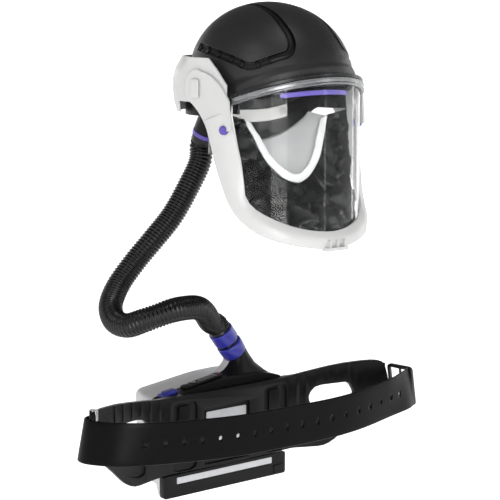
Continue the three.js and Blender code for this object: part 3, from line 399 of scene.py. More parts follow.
def noise_at(tree, place, size, detail=3.0, rough=0.55, distort=0.0):
    """Noise whose blotches are about size metres across."""
    inputs = {"Vector": place, "Scale": 1 / size, "Detail": detail, "Roughness": rough, "Distortion": distort}
    return add_node(tree, "TexNoise", inputs).outputs["Fac"]


def remap(tree, value, low, high, start=0.3, end=0.7):
    """Low to high as the value goes from start to end, which is most of a noise's range."""
    inputs = {"Value": value, "From Min": start, "From Max": end, "To Min": low, "To Max": high}
    return add_node(tree, "MapRange", inputs).outputs["Result"]


def maths(tree, operation, a, b):
    return add_node(tree, "Math", {0: a, 1: b}, operation=operation).outputs[0]


def mix_colours(tree, share, first, second):
    """A colour between two; each is a socket or three numbers."""
    made = add_node(tree, "Mix", {0: share}, data_type="RGBA")
    for index, value in ((6, first), (7, second)):
        if isinstance(value, bpy.types.NodeSocket):
            tree.links.new(value, made.inputs[index])
        else:
            made.inputs[index].default_value = (*value, 1)
    return made.outputs[2]


def shade(colour, factor):
    return tuple(min(c * factor, 1.0) for c in colour)


def rounded_edges(tree, radius):
    """The surface direction with sharp edges eased, and how near an edge a place is."""
    eased = add_node(tree, "Bevel", {"Radius": radius}, samples=6).outputs["Normal"]
    plain = add_node(tree, "NewGeometry").outputs["Normal"]
    same = add_node(tree, "VectorMath", {0: eased, 1: plain}, operation="DOT_PRODUCT").outputs["Value"]
    return eased, remap(tree, same, 1.0, 0.0, 0.8, 0.995)


def bump(tree, height, distance, strength=1.0, normal=None):
    inputs = {"Height": height, "Distance": distance, "Strength": strength}
    if normal:
        inputs["Normal"] = normal
    return add_node(tree, "Bump", inputs).outputs["Normal"]


def wire(tree, shader, colour, roughness, normal):
    """Links a surface's colour, roughness and direction to its shader."""
    for socket, source in (("Base Color", colour), ("Roughness", roughness), ("Normal", normal)):
        tree.links.new(source, shader.inputs[socket])


def moulded(colour, roughness, grain=0.0006, depth=0.00004, blotch=0.08, worn=1.2, **sockets):
    """Moulded plastic: faint blotches, a fine grain and eased edges that have rubbed a little."""
    material, tree, shader = new_material(**sockets)
    place = object_place(tree)
    cloud = noise_at(tree, place, 0.05)
    base = mix_colours(tree, remap(tree, cloud, 0, 1), shade(colour, 1 - blotch), shade(colour, 1 + blotch))
    scuffs = noise_at(tree, place, 0.008, detail=6, rough=0.7)
    eased, near_edge = rounded_edges(tree, 0.0009)
    rubbed = maths(tree, "MULTIPLY", near_edge, remap(tree, scuffs, 0, 1, 0.35, 0.65))
    tone = mix_colours(tree, rubbed, base, shade(colour, worn))
    skin = noise_at(tree, place, grain, detail=2)
    gloss = remap(tree, scuffs, roughness - 0.06, roughness + 0.08)
    wire(tree, shader, tone, gloss, bump(tree, skin, depth, normal=eased))
    return material


def woven(colour, roughness, pitch, depth, spread=0.15, sheen=0.2, across=1.0):
    """Woven tape: over-and-under threads along and across the cloth."""
    material, tree, shader = new_material(Sheen_Weight=sheen, Sheen_Roughness=0.4)
    place = cloth_place(tree)
    scale = math.pi / 10 / pitch
    waves = []
    for direction, stretch in (("X", 1.0), ("Y", across)):
        inputs = {"Vector": place, "Scale": scale * stretch, "Distortion": 0.4, "Detail": 1.0}
        inputs["Detail Scale"] = 2.0
        waves.append(add_node(tree, "TexWave", inputs, bands_direction=direction).outputs["Fac"])
    threads = maths(tree, "MULTIPLY", waves[0], waves[1])
    soil = noise_at(tree, object_place(tree), 0.02, detail=5)
    tone = maths(tree, "ADD", maths(tree, "MULTIPLY", threads, 0.6), maths(tree, "MULTIPLY", soil, 0.5))
    base = mix_colours(tree, tone, shade(colour, 1 - spread), shade(colour, 1 + spread / 2))
    gloss = remap(tree, soil, roughness - 0.08, roughness + 0.08)
    wire(tree, shader, base, gloss, bump(tree, threads, depth))
    return material


def brushed(colour, roughness, stretch=(1, 1, 30), metallic=1.0):
    """Metal brushed along one direction, a little darker in patches."""
    material, tree, shader = new_material(Metallic=metallic)
    place = object_place(tree)
    drawn = add_node(tree, "Mapping", {"Vector": place, "Scale": stretch}).outputs["Vector"]
    lines = noise_at(tree, drawn, 0.004, detail=4)
    patches = noise_at(tree, place, 0.012, detail=5)
    tone = mix_colours(tree, patches, shade(colour, 0.75), shade(colour, 1.15))
    gloss = remap(tree, lines, roughness - 0.06, roughness + 0.1)
    eased, _ = rounded_edges(tree, 0.0005)
    wire(tree, shader, tone, gloss, bump(tree, lines, 0.00003, normal=eased))
    return material


# ---- materials, one for each finish

def shell_grey():
    return moulded(
        (0.012, 0.012, 0.013), 0.42, grain=0.0009, depth=0.00006, worn=1.5,
        Specular_IOR_Level=0.32,
    )


def white_plastic():
    return moulded(
        (0.49, 0.49, 0.486), 0.36, grain=0.0016, depth=0.00002, blotch=0.02, worn=1.05,
        Coat_Weight=0.15, Coat_Roughness=0.2,
    )


def black_plastic():
    return moulded(
        (0.0035, 0.0033, 0.0033), 0.36, grain=0.0007, depth=0.00008, worn=2.2,
        Specular_IOR_Level=0.16,
    )


def light_grey_plastic():
    return moulded((0.5, 0.49, 0.495), 0.4, grain=0.0007, depth=0.00005, blotch=0.03, worn=1.12)


def purple_plastic():
    return moulded((0.075, 0.05, 0.3), 0.35, grain=0.0008, depth=0.00003, worn=1.4)


def blue_plastic():
    return moulded((0.02, 0.022, 0.24), 0.33, grain=0.0008, depth=0.00003, worn=1.6)


def red_plastic():
    return moulded((0.35, 0.02, 0.03), 0.25)


def black_rubber():
    """Moulded rubber with a dull bloom."""
    return moulded(
        (0.0025, 0.0025, 0.0027), 0.26, grain=0.001, depth=0.00004, blotch=0.3, worn=2.0,
        Specular_IOR_Level=0.3,
    )


def coated_fabric():
    """Thin black cloth with a shiny coating, finely creased."""
    material, tree, shader = new_material(Specular_IOR_Level=0.22, Coat_Weight=0.18, Coat_Roughness=0.12)
    place = object_place(tree)
    cloud = noise_at(tree, place, 0.03, detail=4)
    tone = mix_colours(tree, cloud, (0.002, 0.002, 0.0022), (0.006, 0.006, 0.0066))
    creases = noise_at(tree, place, 0.012, detail=5, rough=0.6, distort=1.4)
    threads = noise_at(tree, place, 0.0007, detail=1)
    folded = bump(tree, creases, 0.0018, 0.9)
    wire(tree, shader, tone, remap(tree, cloud, 0.18, 0.34), bump(tree, threads, 0.00005, normal=folded))
    return material


def white_fabric():
    return woven((0.64, 0.635, 0.635), 0.75, 0.0011, 0.00012, spread=0.1, sheen=0.4, across=0.6)


def black_fabric():
    return woven((0.004, 0.004, 0.0043), 0.8, 0.0013, 0.0002, spread=0.3, sheen=0.02)


def white_webbing():
    return woven((0.72, 0.71, 0.69), 0.6, 0.0013, 0.0002, spread=0.16)


def strap_leather():
    """Coated strap with a fine pebble and a satin shine."""
    material, tree, shader = new_material(Specular_IOR_Level=0.07)
    place = object_place(tree)
    cloud = noise_at(tree, place, 0.04, detail=4)
    tone = mix_colours(tree, cloud, (0.0014, 0.0014, 0.0015), (0.003, 0.003, 0.0032))
    cells = add_node(tree, "TexVoronoi", {"Vector": place, "Scale": 1500.0}, feature="SMOOTH_F1")
    eased, _ = rounded_edges(tree, 0.0006)
    pebble = bump(tree, cells.outputs["Distance"], 0.00004, normal=eased)
    wire(tree, shader, tone, remap(tree, cloud, 0.3, 0.44), pebble)
    return material


def clear_visor():
    """Clear sheet that mirrors the lamps softly; lamps shine straight through it."""
    material, tree, shader = new_material(
        Base_Color=(0.985, 0.99, 0.99, 1), Transmission_Weight=1.0, Roughness=0.03, IOR=1.16,
    )
    wipes = noise_at(tree, object_place(tree), 0.02, detail=4)
    tree.links.new(remap(tree, wipes, 0.0, 0.07), shader.inputs["Roughness"])
    open_shader = add_node(tree, "BsdfTransparent", {"Color": (0.93, 0.95, 0.95, 1)}).outputs[0]
    is_shadow = add_node(tree, "LightPath").outputs["Is Shadow Ray"]
    both = add_node(tree, "MixShader", {0: is_shadow, 1: shader.outputs[0], 2: open_shader}).outputs[0]
    tree.links.new(both, tree.nodes["Material Output"].inputs["Surface"])
    return material


def silver_rail():
    return brushed((0.2, 0.205, 0.21), 0.24, stretch=(0.3, 0.3, 3), metallic=0.7)


def steel():
    return brushed((0.45, 0.45, 0.46), 0.28)


def dark_steel():
    return brushed((0.07, 0.07, 0.075), 0.32)


def silver_label():
    return brushed((0.5, 0.505, 0.52), 0.38, stretch=(1, 1, 4), metallic=0.5)


def board_green():
    return moulded((0.02, 0.13, 0.06), 0.3, grain=0.003, depth=0.0002, blotch=0.3)


def display_glass():
    return moulded((0.02, 0.023, 0.026), 0.12, grain=0.01, depth=0.0, Coat_Weight=0.8)


def filter_paper():
    """Pleated paper: close folds with a fibrous surface, with painted shade in the folds' valleys and a
    painted highlight on their crests.
    """
    material, tree, shader = new_material()
    place = object_place(tree)
    wave = add_node(tree, "TexWave", {"Vector": place, "Scale": 90.0}, bands_direction="X")
    pleat_height_and_shade = wave.outputs["Fac"]
    fibres = noise_at(tree, place, 0.0012, detail=5)
    # Painted shade and highlight: the colour follows the pleat height, darker in each valley and lighter on
    # each crest.
    tone = mix_colours(tree, pleat_height_and_shade, (0.42, 0.41, 0.37), (0.7, 0.69, 0.64))
    height = maths(tree, "ADD", pleat_height_and_shade, maths(tree, "MULTIPLY", fibres, 0.2))
    wire(tree, shader, tone, remap(tree, fibres, 0.75, 0.95), bump(tree, height, 0.0008))
    return material


# Every finish has the name of the function that makes it.
FINISHES = {}
for make in (
    shell_grey, white_plastic, black_plastic, light_grey_plastic, purple_plastic, blue_plastic, red_plastic,
    black_rubber, coated_fabric, white_fabric, black_fabric, white_webbing, strap_leather, clear_visor,
    silver_rail, steel, dark_steel, silver_label, board_green, display_glass, filter_paper,
):
    finish = make()
    finish.name = make.__name__
    FINISHES[make.__name__] = finish


def finish_cad_nodes():
    """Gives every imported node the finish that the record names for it."""
    for subpart in frame["record"]["subparts"]:
        node = frame["nodes"][subpart["node"]]
        for slot in node.material_slots:
            slot.material = FINISHES[subpart["material_slot"]]


SLOTS = {subpart["node"]: subpart["material_slot"] for subpart in frame["record"]["subparts"]}
SLOTS["control_panel"] = "black_plastic"    # it reads darker than the casing that it sits in
BODY_OF = {
    node: body for body, nodes in frame["record"]["behaviour"]["bodies"].items() for node in nodes
}

# Nodes that keep their shape, with true edges rounded off by this much, in metres.
FINISHED_NODES = {
    "rear_cowl": 0.0, "visor_frame": 0.0, "visor_lens": 0.0, "visor_top_seal": 0.0, "hinge_cap_right": 0.0006,
    "hinge_cap_left": 0.0006, "air_duct": 0.0, "inlet_elbow": 0.0, "hose_swivel_ring": 0.0004,
    "hose_cuff_upper": 0.0004, "air_deflector": 0.0, "ratchet_knob": 0.0008, "visor_lock_right": 0.0006,
    "visor_lock_left": 0.0006, "blower_housing": 0.0, "rear_casing": 0.0, "filter_cover": 0.0,
    "battery_front": 0.0005, "battery_rear": 0.0006, "hose_cuff_lower": 0.0005, "outlet_collar": 0.0005,
    "outlet_seal": 0.0, "back_frame": 0.0004, "buckle_frame": 0.0007, "buckle_prong": 0.0004,
    "control_panel": 0.0004, "cover_latch": 0.0005, "power_button": 0.0004, "flow_button": 0.0004,
    "strap_clip": 0.0003, "strap_peg_right": 0.0005, "strap_peg_left": 0.0005,
}


def finish_nodes():
    for node, bevel in FINISHED_NODES.items():
        finished_copy(node, bevel)


# ---- breathing hose

HOSE_RIDGE = 0.0165
HOSE_VALLEY = 0.0148
HOSE_PITCH = 0.0046
HOSE_SIDES = 28
RIB_STEPS = 6           # rings of points for each rib
HOSE_ROUTE = [
    (0, 0.15914, -0.09369), (0, 0.16302, -0.10069), (-0.003, 0.162, -0.121), (-0.021, 0.166, -0.157),
    (-0.045, 0.172, -0.196), (-0.075, 0.178, -0.229), (-0.099, 0.187, -0.258), (-0.125, 0.189, -0.288),
    (-0.146, 0.176, -0.311), (-0.158, 0.148, -0.326), (-0.160, 0.115, -0.327), (-0.152, 0.094, -0.319),
    (-0.138, 0.081, -0.312), (-0.118, 0.074, -0.306), (-0.090, 0.078, -0.306), (-0.060, 0.094, -0.312),
    (-0.033, 0.114, -0.325), (-0.009, 0.132, -0.343), (0.00724, 0.1385, -0.35119),
    (0.01239, 0.1385, -0.35815),
]


def add_hose():
    length = line_length(smooth_line(HOSE_ROUTE, 400))
    ribs = round(length / HOSE_PITCH)
    line = smooth_line(HOSE_ROUTE, ribs * RIB_STEPS)

    def radius_at(i):
        ridge = (0.5 + 0.5 * math.cos(2 * math.pi * i / RIB_STEPS)) ** 0.8
        return HOSE_VALLEY + (HOSE_RIDGE - HOSE_VALLEY) * ridge

    mesh = tube_mesh("corrugated_hose", line, radius_at, HOSE_SIDES)
    hose = new_piece(mesh, "black_rubber", "helmet", ["breathing_hose"])


# ---- helmet shell

# The cap is half an ellipsoid that leans back, cut along the brow and level round the back.
DOME_X = 0.101
DOME_Y = 0.115
DOME_Z = 0.0975
DOME_MID_Y = 0.013
DOME_LEAN = 0.05
DOME_WALL = 0.0026
REAR_RIM_Z = -0.026
CAP_AROUND = 220        # points round the cap and down from its crown
CAP_DOWN = 74

# The visor's curve, and the brow that flares out to meet it.
LENS_CENTRE_Y = 0.004
LENS_RADIUS = 0.111
BRIM_RADIUS = 0.105
BRIM_EASE = 0.007
RAIL_Z = -0.0052
RAIL_SLOPE = 0.38
BROW_LIP = 0.0152
FLARE_TALL = 0.024
FLARE_SPAN = 76

# The groove round the right side panel: low run from the back, front corner, over the crown.
GROOVE = [
    (-0.085, 0.055, 0.040), (-0.0944, 0.016, 0.0345), (-0.0936, -0.013, 0.028), (-0.0905, -0.029, 0.023),
    (-0.0839, -0.046, 0.017), (-0.071, -0.062, 0.0235), (-0.059, -0.072, 0.029), (-0.048, -0.078, 0.033),
    (-0.0415, -0.077, 0.040), (-0.0385, -0.073, 0.0485), (-0.0373, -0.0656, 0.0583),
    (-0.0366, -0.0534, 0.0688), (-0.0344, -0.0368, 0.0794), (-0.0326, -0.0176, 0.0874),
    (-0.0295, 0.0064, 0.0928), (-0.026, 0.032, 0.091),
]
GROOVE_STEPS = 200
GROOVE_WIDTH = 0.0104
GROOVE_TAPER = 0.0044   # how much narrower it gets over the crown
GROOVE_DEPTH = 0.0017
TOOL_PROUD = 0.008      # how far a cutting solid stands out of the cap
RIBBON_HALF = 0.0004

# Where each louvre starts and ends, as shares of the groove's length.
LOUVRES = [(0.02, 0.09), (0.105, 0.175), (0.19, 0.25), (0.27, 0.31), (0.33, 0.39), (0.405, 0.45)]
LOUVRE_WIDTH = 0.0044
LOUVRE_DEPTH = 0.006
BAFFLE_DEPTH = 0.0046


def brow_z(y):
    """Height of the brow rail's lower edge at a place along the helmet."""
    return RAIL_Z - RAIL_SLOPE * (y - (LENS_CENTRE_Y - LENS_RADIUS))


def rim_z(y):
    return max(brow_z(y) + BROW_LIP, REAR_RIM_Z)


def dome_point(heading, polar, shrink):
    """A point of the cap: heading 0 is the back, and polar is 0 at the crown."""
    z = (DOME_Z - shrink) * math.cos(polar)
    x = (DOME_X - shrink) * math.sin(polar) * math.sin(heading)
    y = (DOME_Y - shrink) * math.sin(polar) * math.cos(heading)
    return Vector((x, DOME_MID_Y + y + DOME_LEAN * z, z))


def rim_polar(heading, shrink):
    """How far down from the crown the cap's rim is."""
    high, low = math.radians(40), math.radians(140)
    for _ in range(30):
        middle = (high + low) / 2
        point = dome_point(heading, middle, shrink)
        if point.z > rim_z(point.y):
            high = middle
        else:
            low = middle
    return high


def flared(point):
    """Pushes the brow out to meet the visor's seal."""
    flat = Vector((point.x, point.y - LENS_CENTRE_Y, 0))
    span = abs(math.degrees(math.atan2(flat.x, -flat.y)))
    height = (point.z - brow_z(point.y) - BROW_LIP) / FLARE_TALL
    reach = BRIM_RADIUS - BRIM_EASE * smoothstep(height, 0.3, 1.0)
    fade = smoothstep(FLARE_SPAN - span, 0, 8) * smoothstep(1.25 - height, 0, 0.35)
    if flat.length >= reach:
        return point
    out = flat.normalized() * (flat.length + (reach - flat.length) * fade)
    return Vector((out.x, out.y + LENS_CENTRE_Y, point.z))


def shell_mesh():
    """The cap's two skins, joined round the rim; only the outer one flares."""
    points = []
    for shrink in (0.0, DOME_WALL):
        for i in range(CAP_AROUND):
            heading = 2 * math.pi * i / CAP_AROUND
            rim = rim_polar(heading, shrink)
            for j in range(1, CAP_DOWN + 1):
                point = dome_point(heading, rim * j / CAP_DOWN, shrink)
                points.append(point if shrink else flared(point))
        points.append(dome_point(0, 0, shrink))
    skin = CAP_AROUND * CAP_DOWN + 1

    def corner(i, j, side):
        return (i % CAP_AROUND) * CAP_DOWN + j + side * skin

    faces = []
    rim = CAP_DOWN - 1
    for i in range(CAP_AROUND):
        for side in (0, 1):
            for j in range(rim):
                near = [corner(i, j, side), corner(i + 1, j, side)]
                faces.append([*near, corner(i + 1, j + 1, side), corner(i, j + 1, side)])
            faces.append([skin - 1 + side * skin, corner(i + 1, 0, side), corner(i, 0, side)])
        faces.append([corner(i, rim, 0), corner(i + 1, rim, 0), corner(i + 1, rim, 1), corner(i, rim, 1)])
    return mesh_of("helmet_cap", points, faces)


def on_dome(point):
    """Moves a point straight out from the middle of the cap to its surface."""
    y = point.y - DOME_MID_Y - DOME_LEAN * point.z
    reach = math.sqrt((point.x / DOME_X) ** 2 + (y / DOME_Y) ** 2 + (point.z / DOME_Z) ** 2)
    return Vector((point.x / reach, DOME_MID_Y + (point.y - DOME_MID_Y) / reach, point.z / reach))


def groove_width(share):
    return GROOVE_WIDTH - GROOVE_TAPER * smoothstep(share, 0.65, 1)


def groove_rows(side, start, end, width_at, steps):
    """A stretch of the groove on the cap's surface: edge, middle and edge, with the way out at each."""
    line = smooth_line([(-side * x, y, z) for x, y, z in GROOVE], GROOVE_STEPS)
    rows = []
    for i in range(steps + 1):
        share = start + (end - start) * i / steps
        place = share * (GROOVE_STEPS - 1)
        k = int(place)
        middle = on_dome(line[k].lerp(line[k + 1], place - k))
        along = line[k + 1] - line[k]
        out = (middle - Vector((0, DOME_MID_Y, 0))).normalized()
        across = along.cross(out).normalized() * width_at(share)
        rows.append([(on_dome(middle + across * (v - 0.5)), out) for v in (0, 0.5, 1)])
    return rows


def groove_tool(side, start, end, width_at, depth):
    """A solid that cuts a stretch of the groove down to a depth."""
    rows = groove_rows(side, start, end, width_at, max(6, round((end - start) * 110)))
    middle = [[point + out * (TOOL_PROUD - depth) / 2 for point, out in row] for row in rows]
    mesh = sheet_mesh("groove_tool", middle, lambda i, j: (TOOL_PROUD + depth) / 2)
    mesh.materials.append(FINISHES["black_plastic"])
    return linked(mesh)


def sunk_ribbon(name, side, start, end, narrower, depth):
    """A ribbon along part of the groove, under the cap's surface."""
    steps = max(3, round((end - start) * 130))
    rows = groove_rows(side, start, end, lambda share: groove_width(share) - narrower, steps)
    sunk = [[point - out * depth for point, out in row] for row in rows]
    return sheet_mesh(name, sunk, lambda i, j: RIBBON_HALF)


def joined(name, meshes):
    """One mesh from several."""
    work = bmesh.new()
    for mesh in meshes:
        work.from_mesh(mesh)
    whole = bpy.data.meshes.new(name)
    work.to_mesh(whole)
    work.free()
    return whole


def add_groove_trim(side, word):
    """Glossy trim in the groove, broken at each louvre, and a dark baffle behind the louvres."""
    bars = [0.004, *[edge for louvre in LOUVRES for edge in louvre], 0.996]
    pieces = [
        sunk_ribbon("bar", side, start, end, 0.0007, GROOVE_DEPTH - RIBBON_HALF)
        for start, end in zip(bars[::2], bars[1::2])
    ]
    new_piece(joined(f"groove_trim_{word}", pieces), "black_plastic", "helmet")
    baffle = sunk_ribbon(f"vent_baffle_{word}", side, 0.006, 0.46, 0.0012, BAFFLE_DEPTH)
    new_piece(baffle, "black_fabric", "helmet")


def add_shell():
    """The cap with its grooves and louvres cut in; the cut faces keep the trim's black."""
    shell = linked(shell_mesh())
    dress(shell, "shell_grey", "helmet", ["helmet_shell"])
    tools = []
    for side in (-1, 1):
        tools.append(groove_tool(side, 0, 1, groove_width, GROOVE_DEPTH))
        for start, end in LOUVRES:
            tools.append(groove_tool(side, start, end, lambda share: LOUVRE_WIDTH, LOUVRE_DEPTH))
    cut_by(shell, tools)
    shell.data.shade_smooth()
    mark_edges(shell.data, CRISP_ANGLE)
    add_groove_trim(-1, "right")
    add_groove_trim(1, "left")


# ---- brow rail

# Section of the rail: how far out from the lens, and how high up the rail, in metres.
RAIL_SECTION = [
    (0.0004, 0.0000), (0.0030, 0.0000), (0.0046, 0.0006), (0.0054, 0.0016), (0.0052, 0.0026),
    (0.0040, 0.0032), (0.0038, 0.0040), (0.0041, 0.0062), (0.0038, 0.0072), (0.0044, 0.0078),
    (0.0048, 0.0086), (0.0040, 0.0094), (0.0026, 0.0096), (0.0004, 0.0096),
]
RAIL_SPAN = 68
RAIL_STEPS = 120
RAIL_CRISP_ANGLE = 50


def add_brow_rail():
    points = []
    for i in range(RAIL_STEPS + 1):
        turn = math.radians(-RAIL_SPAN + 2 * RAIL_SPAN * i / RAIL_STEPS)
        base = brow_z(LENS_CENTRE_Y - LENS_RADIUS * math.cos(turn))
        for out, up in RAIL_SECTION:
            reach = LENS_RADIUS + out
            points.append((reach * math.sin(turn), LENS_CENTRE_Y - reach * math.cos(turn), base + up))
    ring = len(RAIL_SECTION)
    faces = ring_faces(RAIL_STEPS + 1, ring)
    faces.append(list(range(ring)))
    faces.append([RAIL_STEPS * ring + k for k in reversed(range(ring))])
    mesh = mesh_of("brow_rail_moulding", points, faces)
    rail = new_piece(mesh, "silver_rail", "visor", ["brow_rail"])
    mark_edges(rail.data, RAIL_CRISP_ANGLE)


# ---- face seal

# The seal's edge on the visor's frame, the rim of the face opening, and the lining's inner edge.
SEAL_OUTER = mirrored([
    (-0.107, -0.020, -0.044), (-0.106, -0.024, -0.070), (-0.1045, -0.027, -0.096),
    (-0.103, -0.031, -0.122), (-0.1005, -0.0355, -0.148), (-0.0945, -0.046, -0.166),
    (-0.084, -0.061, -0.1805), (-0.0655, -0.080, -0.192), (-0.0365, -0.0965, -0.200), (0, -0.103, -0.203),
])
SEAL_RIM = mirrored([
    (-0.070, -0.017, -0.052), (-0.066, -0.019, -0.060), (-0.060, -0.023, -0.072), (-0.054, -0.026, -0.086),
    (-0.047, -0.0295, -0.100), (-0.037, -0.033, -0.113), (-0.020, -0.0375, -0.127), (0, -0.039, -0.134),
])
LINING_EDGE = mirrored([
    (-0.066, 0.014, -0.048), (-0.064, 0.016, -0.052), (-0.060, 0.020, -0.058), (-0.054, 0.024, -0.064),
    (-0.046, 0.028, -0.070), (-0.034, 0.031, -0.076), (-0.018, 0.034, -0.081), (0, 0.035, -0.084),
])
CLOTH_HALF = 0.0004
LINING_HALF = 0.0005
LENS_CLEARANCE = 0.0038
HEM_COLUMNS = 8
HEM_WIDTH = 0.0115

# For each cloth: the front that it would go towards and the share it would keep as the visor lifts; nothing
# here flattens the cloth by them.
SEAL_FOLD = (-0.084, 0.15)
LINING_FOLD = (-0.100, 0.12)

# A thin limp cloth that grows between its held edges, so that it buckles into folds.
BUCKLING = {
    "quality": 6, "mass": 0.1, "tension_stiffness": 20, "compression_stiffness": 20, "shear_stiffness": 8,
    "bending_stiffness": 0.02,
}


def cloth_rows(start_line, end_line, along, across):
    """A ruled grid between two lines of points."""
    start = smooth_line(start_line, along)
    end = smooth_line(end_line, along)
    return [[a.lerp(b, j / across) for j in range(across + 1)] for a, b in zip(start, end)]


def keep_behind_lens(point, room):
    """Moves a point back inside the visor's curve if it has come too near it."""
    flat = Vector((point.x, point.y - LENS_CENTRE_Y, 0))
    if flat.length > room and flat.y < 0:
        flat *= room / flat.length
    return Vector((flat.x, flat.y + LENS_CENTRE_Y, point.z))


def step_frames(last):
    """Runs the simulation from its first frame to its last."""
    for step in range(1, last + 1):
        scene.frame_set(step)


def simulated(rows, growth, frames, cap):
    """Lets a sheet that is too big for its held edges buckle, and returns where it settles."""
    width = len(rows[0])
    points = [p for row in rows for p in row]
    faces = [
        [i * width + j, (i + 1) * width + j, (i + 1) * width + j + 1, i * width + j + 1]
        for i in range(len(rows) - 1) for j in range(width - 1)
    ]
    mesh = bpy.data.meshes.new("buckling")
    mesh.from_pydata(points, [], faces)
    sheet = linked(mesh)
    sides = [k for k in range(len(points)) if k % width in (0, width - 1)]
    ends = [k for k in range(len(points)) if k < width or k >= len(points) - width]
    held = sheet.vertex_groups.new(name="held")
    held.add(sides + ends, 1.0, "REPLACE")
    cloth = sheet.modifiers.new("cloth", "CLOTH")
    for key, value in BUCKLING.items():
        setattr(cloth.settings, key, value)
    cloth.settings.shrink_min = -growth
    cloth.settings.shrink_max = -growth
    cloth.settings.vertex_group_mass = "held"
    cloth.settings.effector_weights.gravity = 0
    cloth.point_cache.frame_end = frames
    step_frames(frames)
    shape = sheet.evaluated_get(bpy.context.evaluated_depsgraph_get()).to_mesh()
    moved = [
        p + (v.co - p).normalized() * min((v.co - p).length, cap)
        for p, v in zip(points, shape.vertices)
    ]
    scene.frame_set(1)
    bpy.data.objects.remove(sheet)
    return [moved[i * width:(i + 1) * width] for i in range(len(rows))]


def crumpled_rows():
    """The loose cloth between the visor's edge and the face opening, gathered at the opening."""
    along, across = 150, 30
    rows = cloth_rows(SEAL_OUTER, SEAL_RIM, along, across)
    normals = grid_normals(rows)
    for i, row in enumerate(rows):
        u = i / along
        for j, point in enumerate(row):
            v = j / across
            slack = math.sin(math.pi * v) ** 0.8
            point = point + Vector((0, -0.007 * slack * smoothstep(-point.z, 0.05, 0.09), 0))
            sway = noise.noise(Vector((u * 5, v * 1.5, 3)))
            folds = math.sin((u * 11 + sway * 0.8) * 2 * math.pi) * 0.0036 * slack
            near_rim = smoothstep(v, 0.55, 0.85) * smoothstep(1 - v, 0, 0.05)
            gathers = math.sin(u * 52 * 2 * math.pi + 2 * sway) * 0.0013 * near_rim
            crumple = noise.fractal(point * 45 + Vector((7, 0, 0)), 0.8, 2.2, 3) * 0.002 * slack
            ridge = 1 - 2 * abs(noise.noise(point * 26 + Vector((0, 3, 0))))
            crease = max(ridge, 0) ** 3 * 0.0075 * slack
            row[j] = point + normals[i][j] * (folds + gathers + crumple + crease)
    rows = simulated(rows, growth=0.14, frames=24, cap=0.012)
    return [[keep_behind_lens(p, LENS_RADIUS - LENS_CLEARANCE) for p in row] for row in rows]


def lining_rows():
    """The white cloth from the face opening back round the jaw, sagging a little and unevenly."""
    along, across = 120, 16
    rows = cloth_rows(SEAL_RIM, LINING_EDGE, along, across)
    for row in rows:
        for j, point in enumerate(row):
            sag = noise.noise(point * 30) * 0.003 * math.sin(math.pi * j / across)
            row[j] = point + Vector((0, 0, -sag))
    return rows


def hem_mesh():
    """The padded elastic edge of the face opening, turned in, and a little uneven along its length."""
    rows = []
    for i, a in enumerate(smooth_line(SEAL_RIM, 150)):
        away = (Vector((0, a.y + 0.010, -0.074)) - a).normalized()
        wide = HEM_WIDTH + 0.0012 * noise.noise(Vector((i * 0.13, 0, 0)))
        lift = 0.0008 * noise.noise(Vector((i * 0.3, 5, 0)))
        shift = Vector((0, -0.0022, lift))
        rows.append([a + away * (wide * k / HEM_COLUMNS - 0.001) + shift for k in range(HEM_COLUMNS + 1)])
    return sheet_mesh(
        "face_seal_hem", rows, lambda i, j: 0.0007 + 0.0011 * math.sin(math.pi * j / HEM_COLUMNS),
    )


def add_face_seal():
    rows = crumpled_rows()
    mesh = sheet_mesh("face_seal_cloth", rows, lambda i, j: CLOTH_HALF)
    seal = new_piece(mesh, "coated_fabric", "visor", ["face_seal"])
    inner = lining_rows()
    mesh = sheet_mesh("face_seal_knit", inner, lambda i, j: LINING_HALF)
    lining = new_piece(mesh, "white_fabric", "visor", ["face_seal_lining"])
    hem = new_piece(hem_mesh(), "white_fabric", "visor")

    for piece, (front, keep) in ((seal, SEAL_FOLD), (lining, LINING_FOLD), (hem, LINING_FOLD)):
        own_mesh(piece)


def add_seal_back():
    """Black cloth hung from the headband, short at the temples and long round the nape."""
    rows = []
    steps, drop = 90, 16
    for i in range(steps + 1):
        u = i / steps
        turn = math.pi * (0.40 + 1.20 * u)
        behind = smoothstep(-math.cos(turn), 0.1, 0.7)
        flare = 0.014 * smoothstep(math.cos(turn), -0.1, 0.3)
        top = -0.012 - 0.018 * behind
        bottom = -0.043 - 0.059 * behind
        row = []
        for j in range(drop + 1):
            v = j / drop
            reach = 0.0016 + flare + 0.0025 * v + 0.0016 * v * math.sin(u * 21 * math.pi)
            x = (BAND_X + reach) * math.sin(turn)
            y = -(BAND_Y + reach) * math.cos(turn)
            row.append(Vector((x, y, top + (bottom - top) * v)))
        rows.append(row)
    mesh = sheet_mesh("face_seal_back", rows, lambda i, j: CLOTH_HALF)
    back = new_piece(mesh, "coated_fabric", "helmet")


# ---- head harness

BAND_X = 0.077
BAND_Y = 0.096
BAND_TALL = 0.017
BAND_DROP = 0.056
TAPE_RIM = 0.0012       # width of a tape's rounded edge
CROWN_TAPE_WIDTH = 0.02
CRADLE_REACH = 0.085
CRADLE_RISE = 0.081
CRADLE_BASE = -0.008
INSIDE_CRADLE = 0.96    # the tapes lie this far within the cradle's outline
PUFF_FRAMES = 20
PUFF_VOXEL = 0.003


def band_rows(start, end, grow, across, steps):
    """A stretch of the headband's oval, dropping to the nape; 0 is the front, 1 is all the way round."""
    rows = []
    for i in range(steps + 1):
        turn = 2 * math.pi * (start + (end - start) * i / steps)
        x = (BAND_X + grow) * math.sin(turn)
        y = -(BAND_Y + grow) * math.cos(turn)
        z = -BAND_DROP * smoothstep(y, -0.060, 0.090)
        rows.append([Vector((x, y, z + (v - 0.5) * BAND_TALL)) for v in across])
    return rows


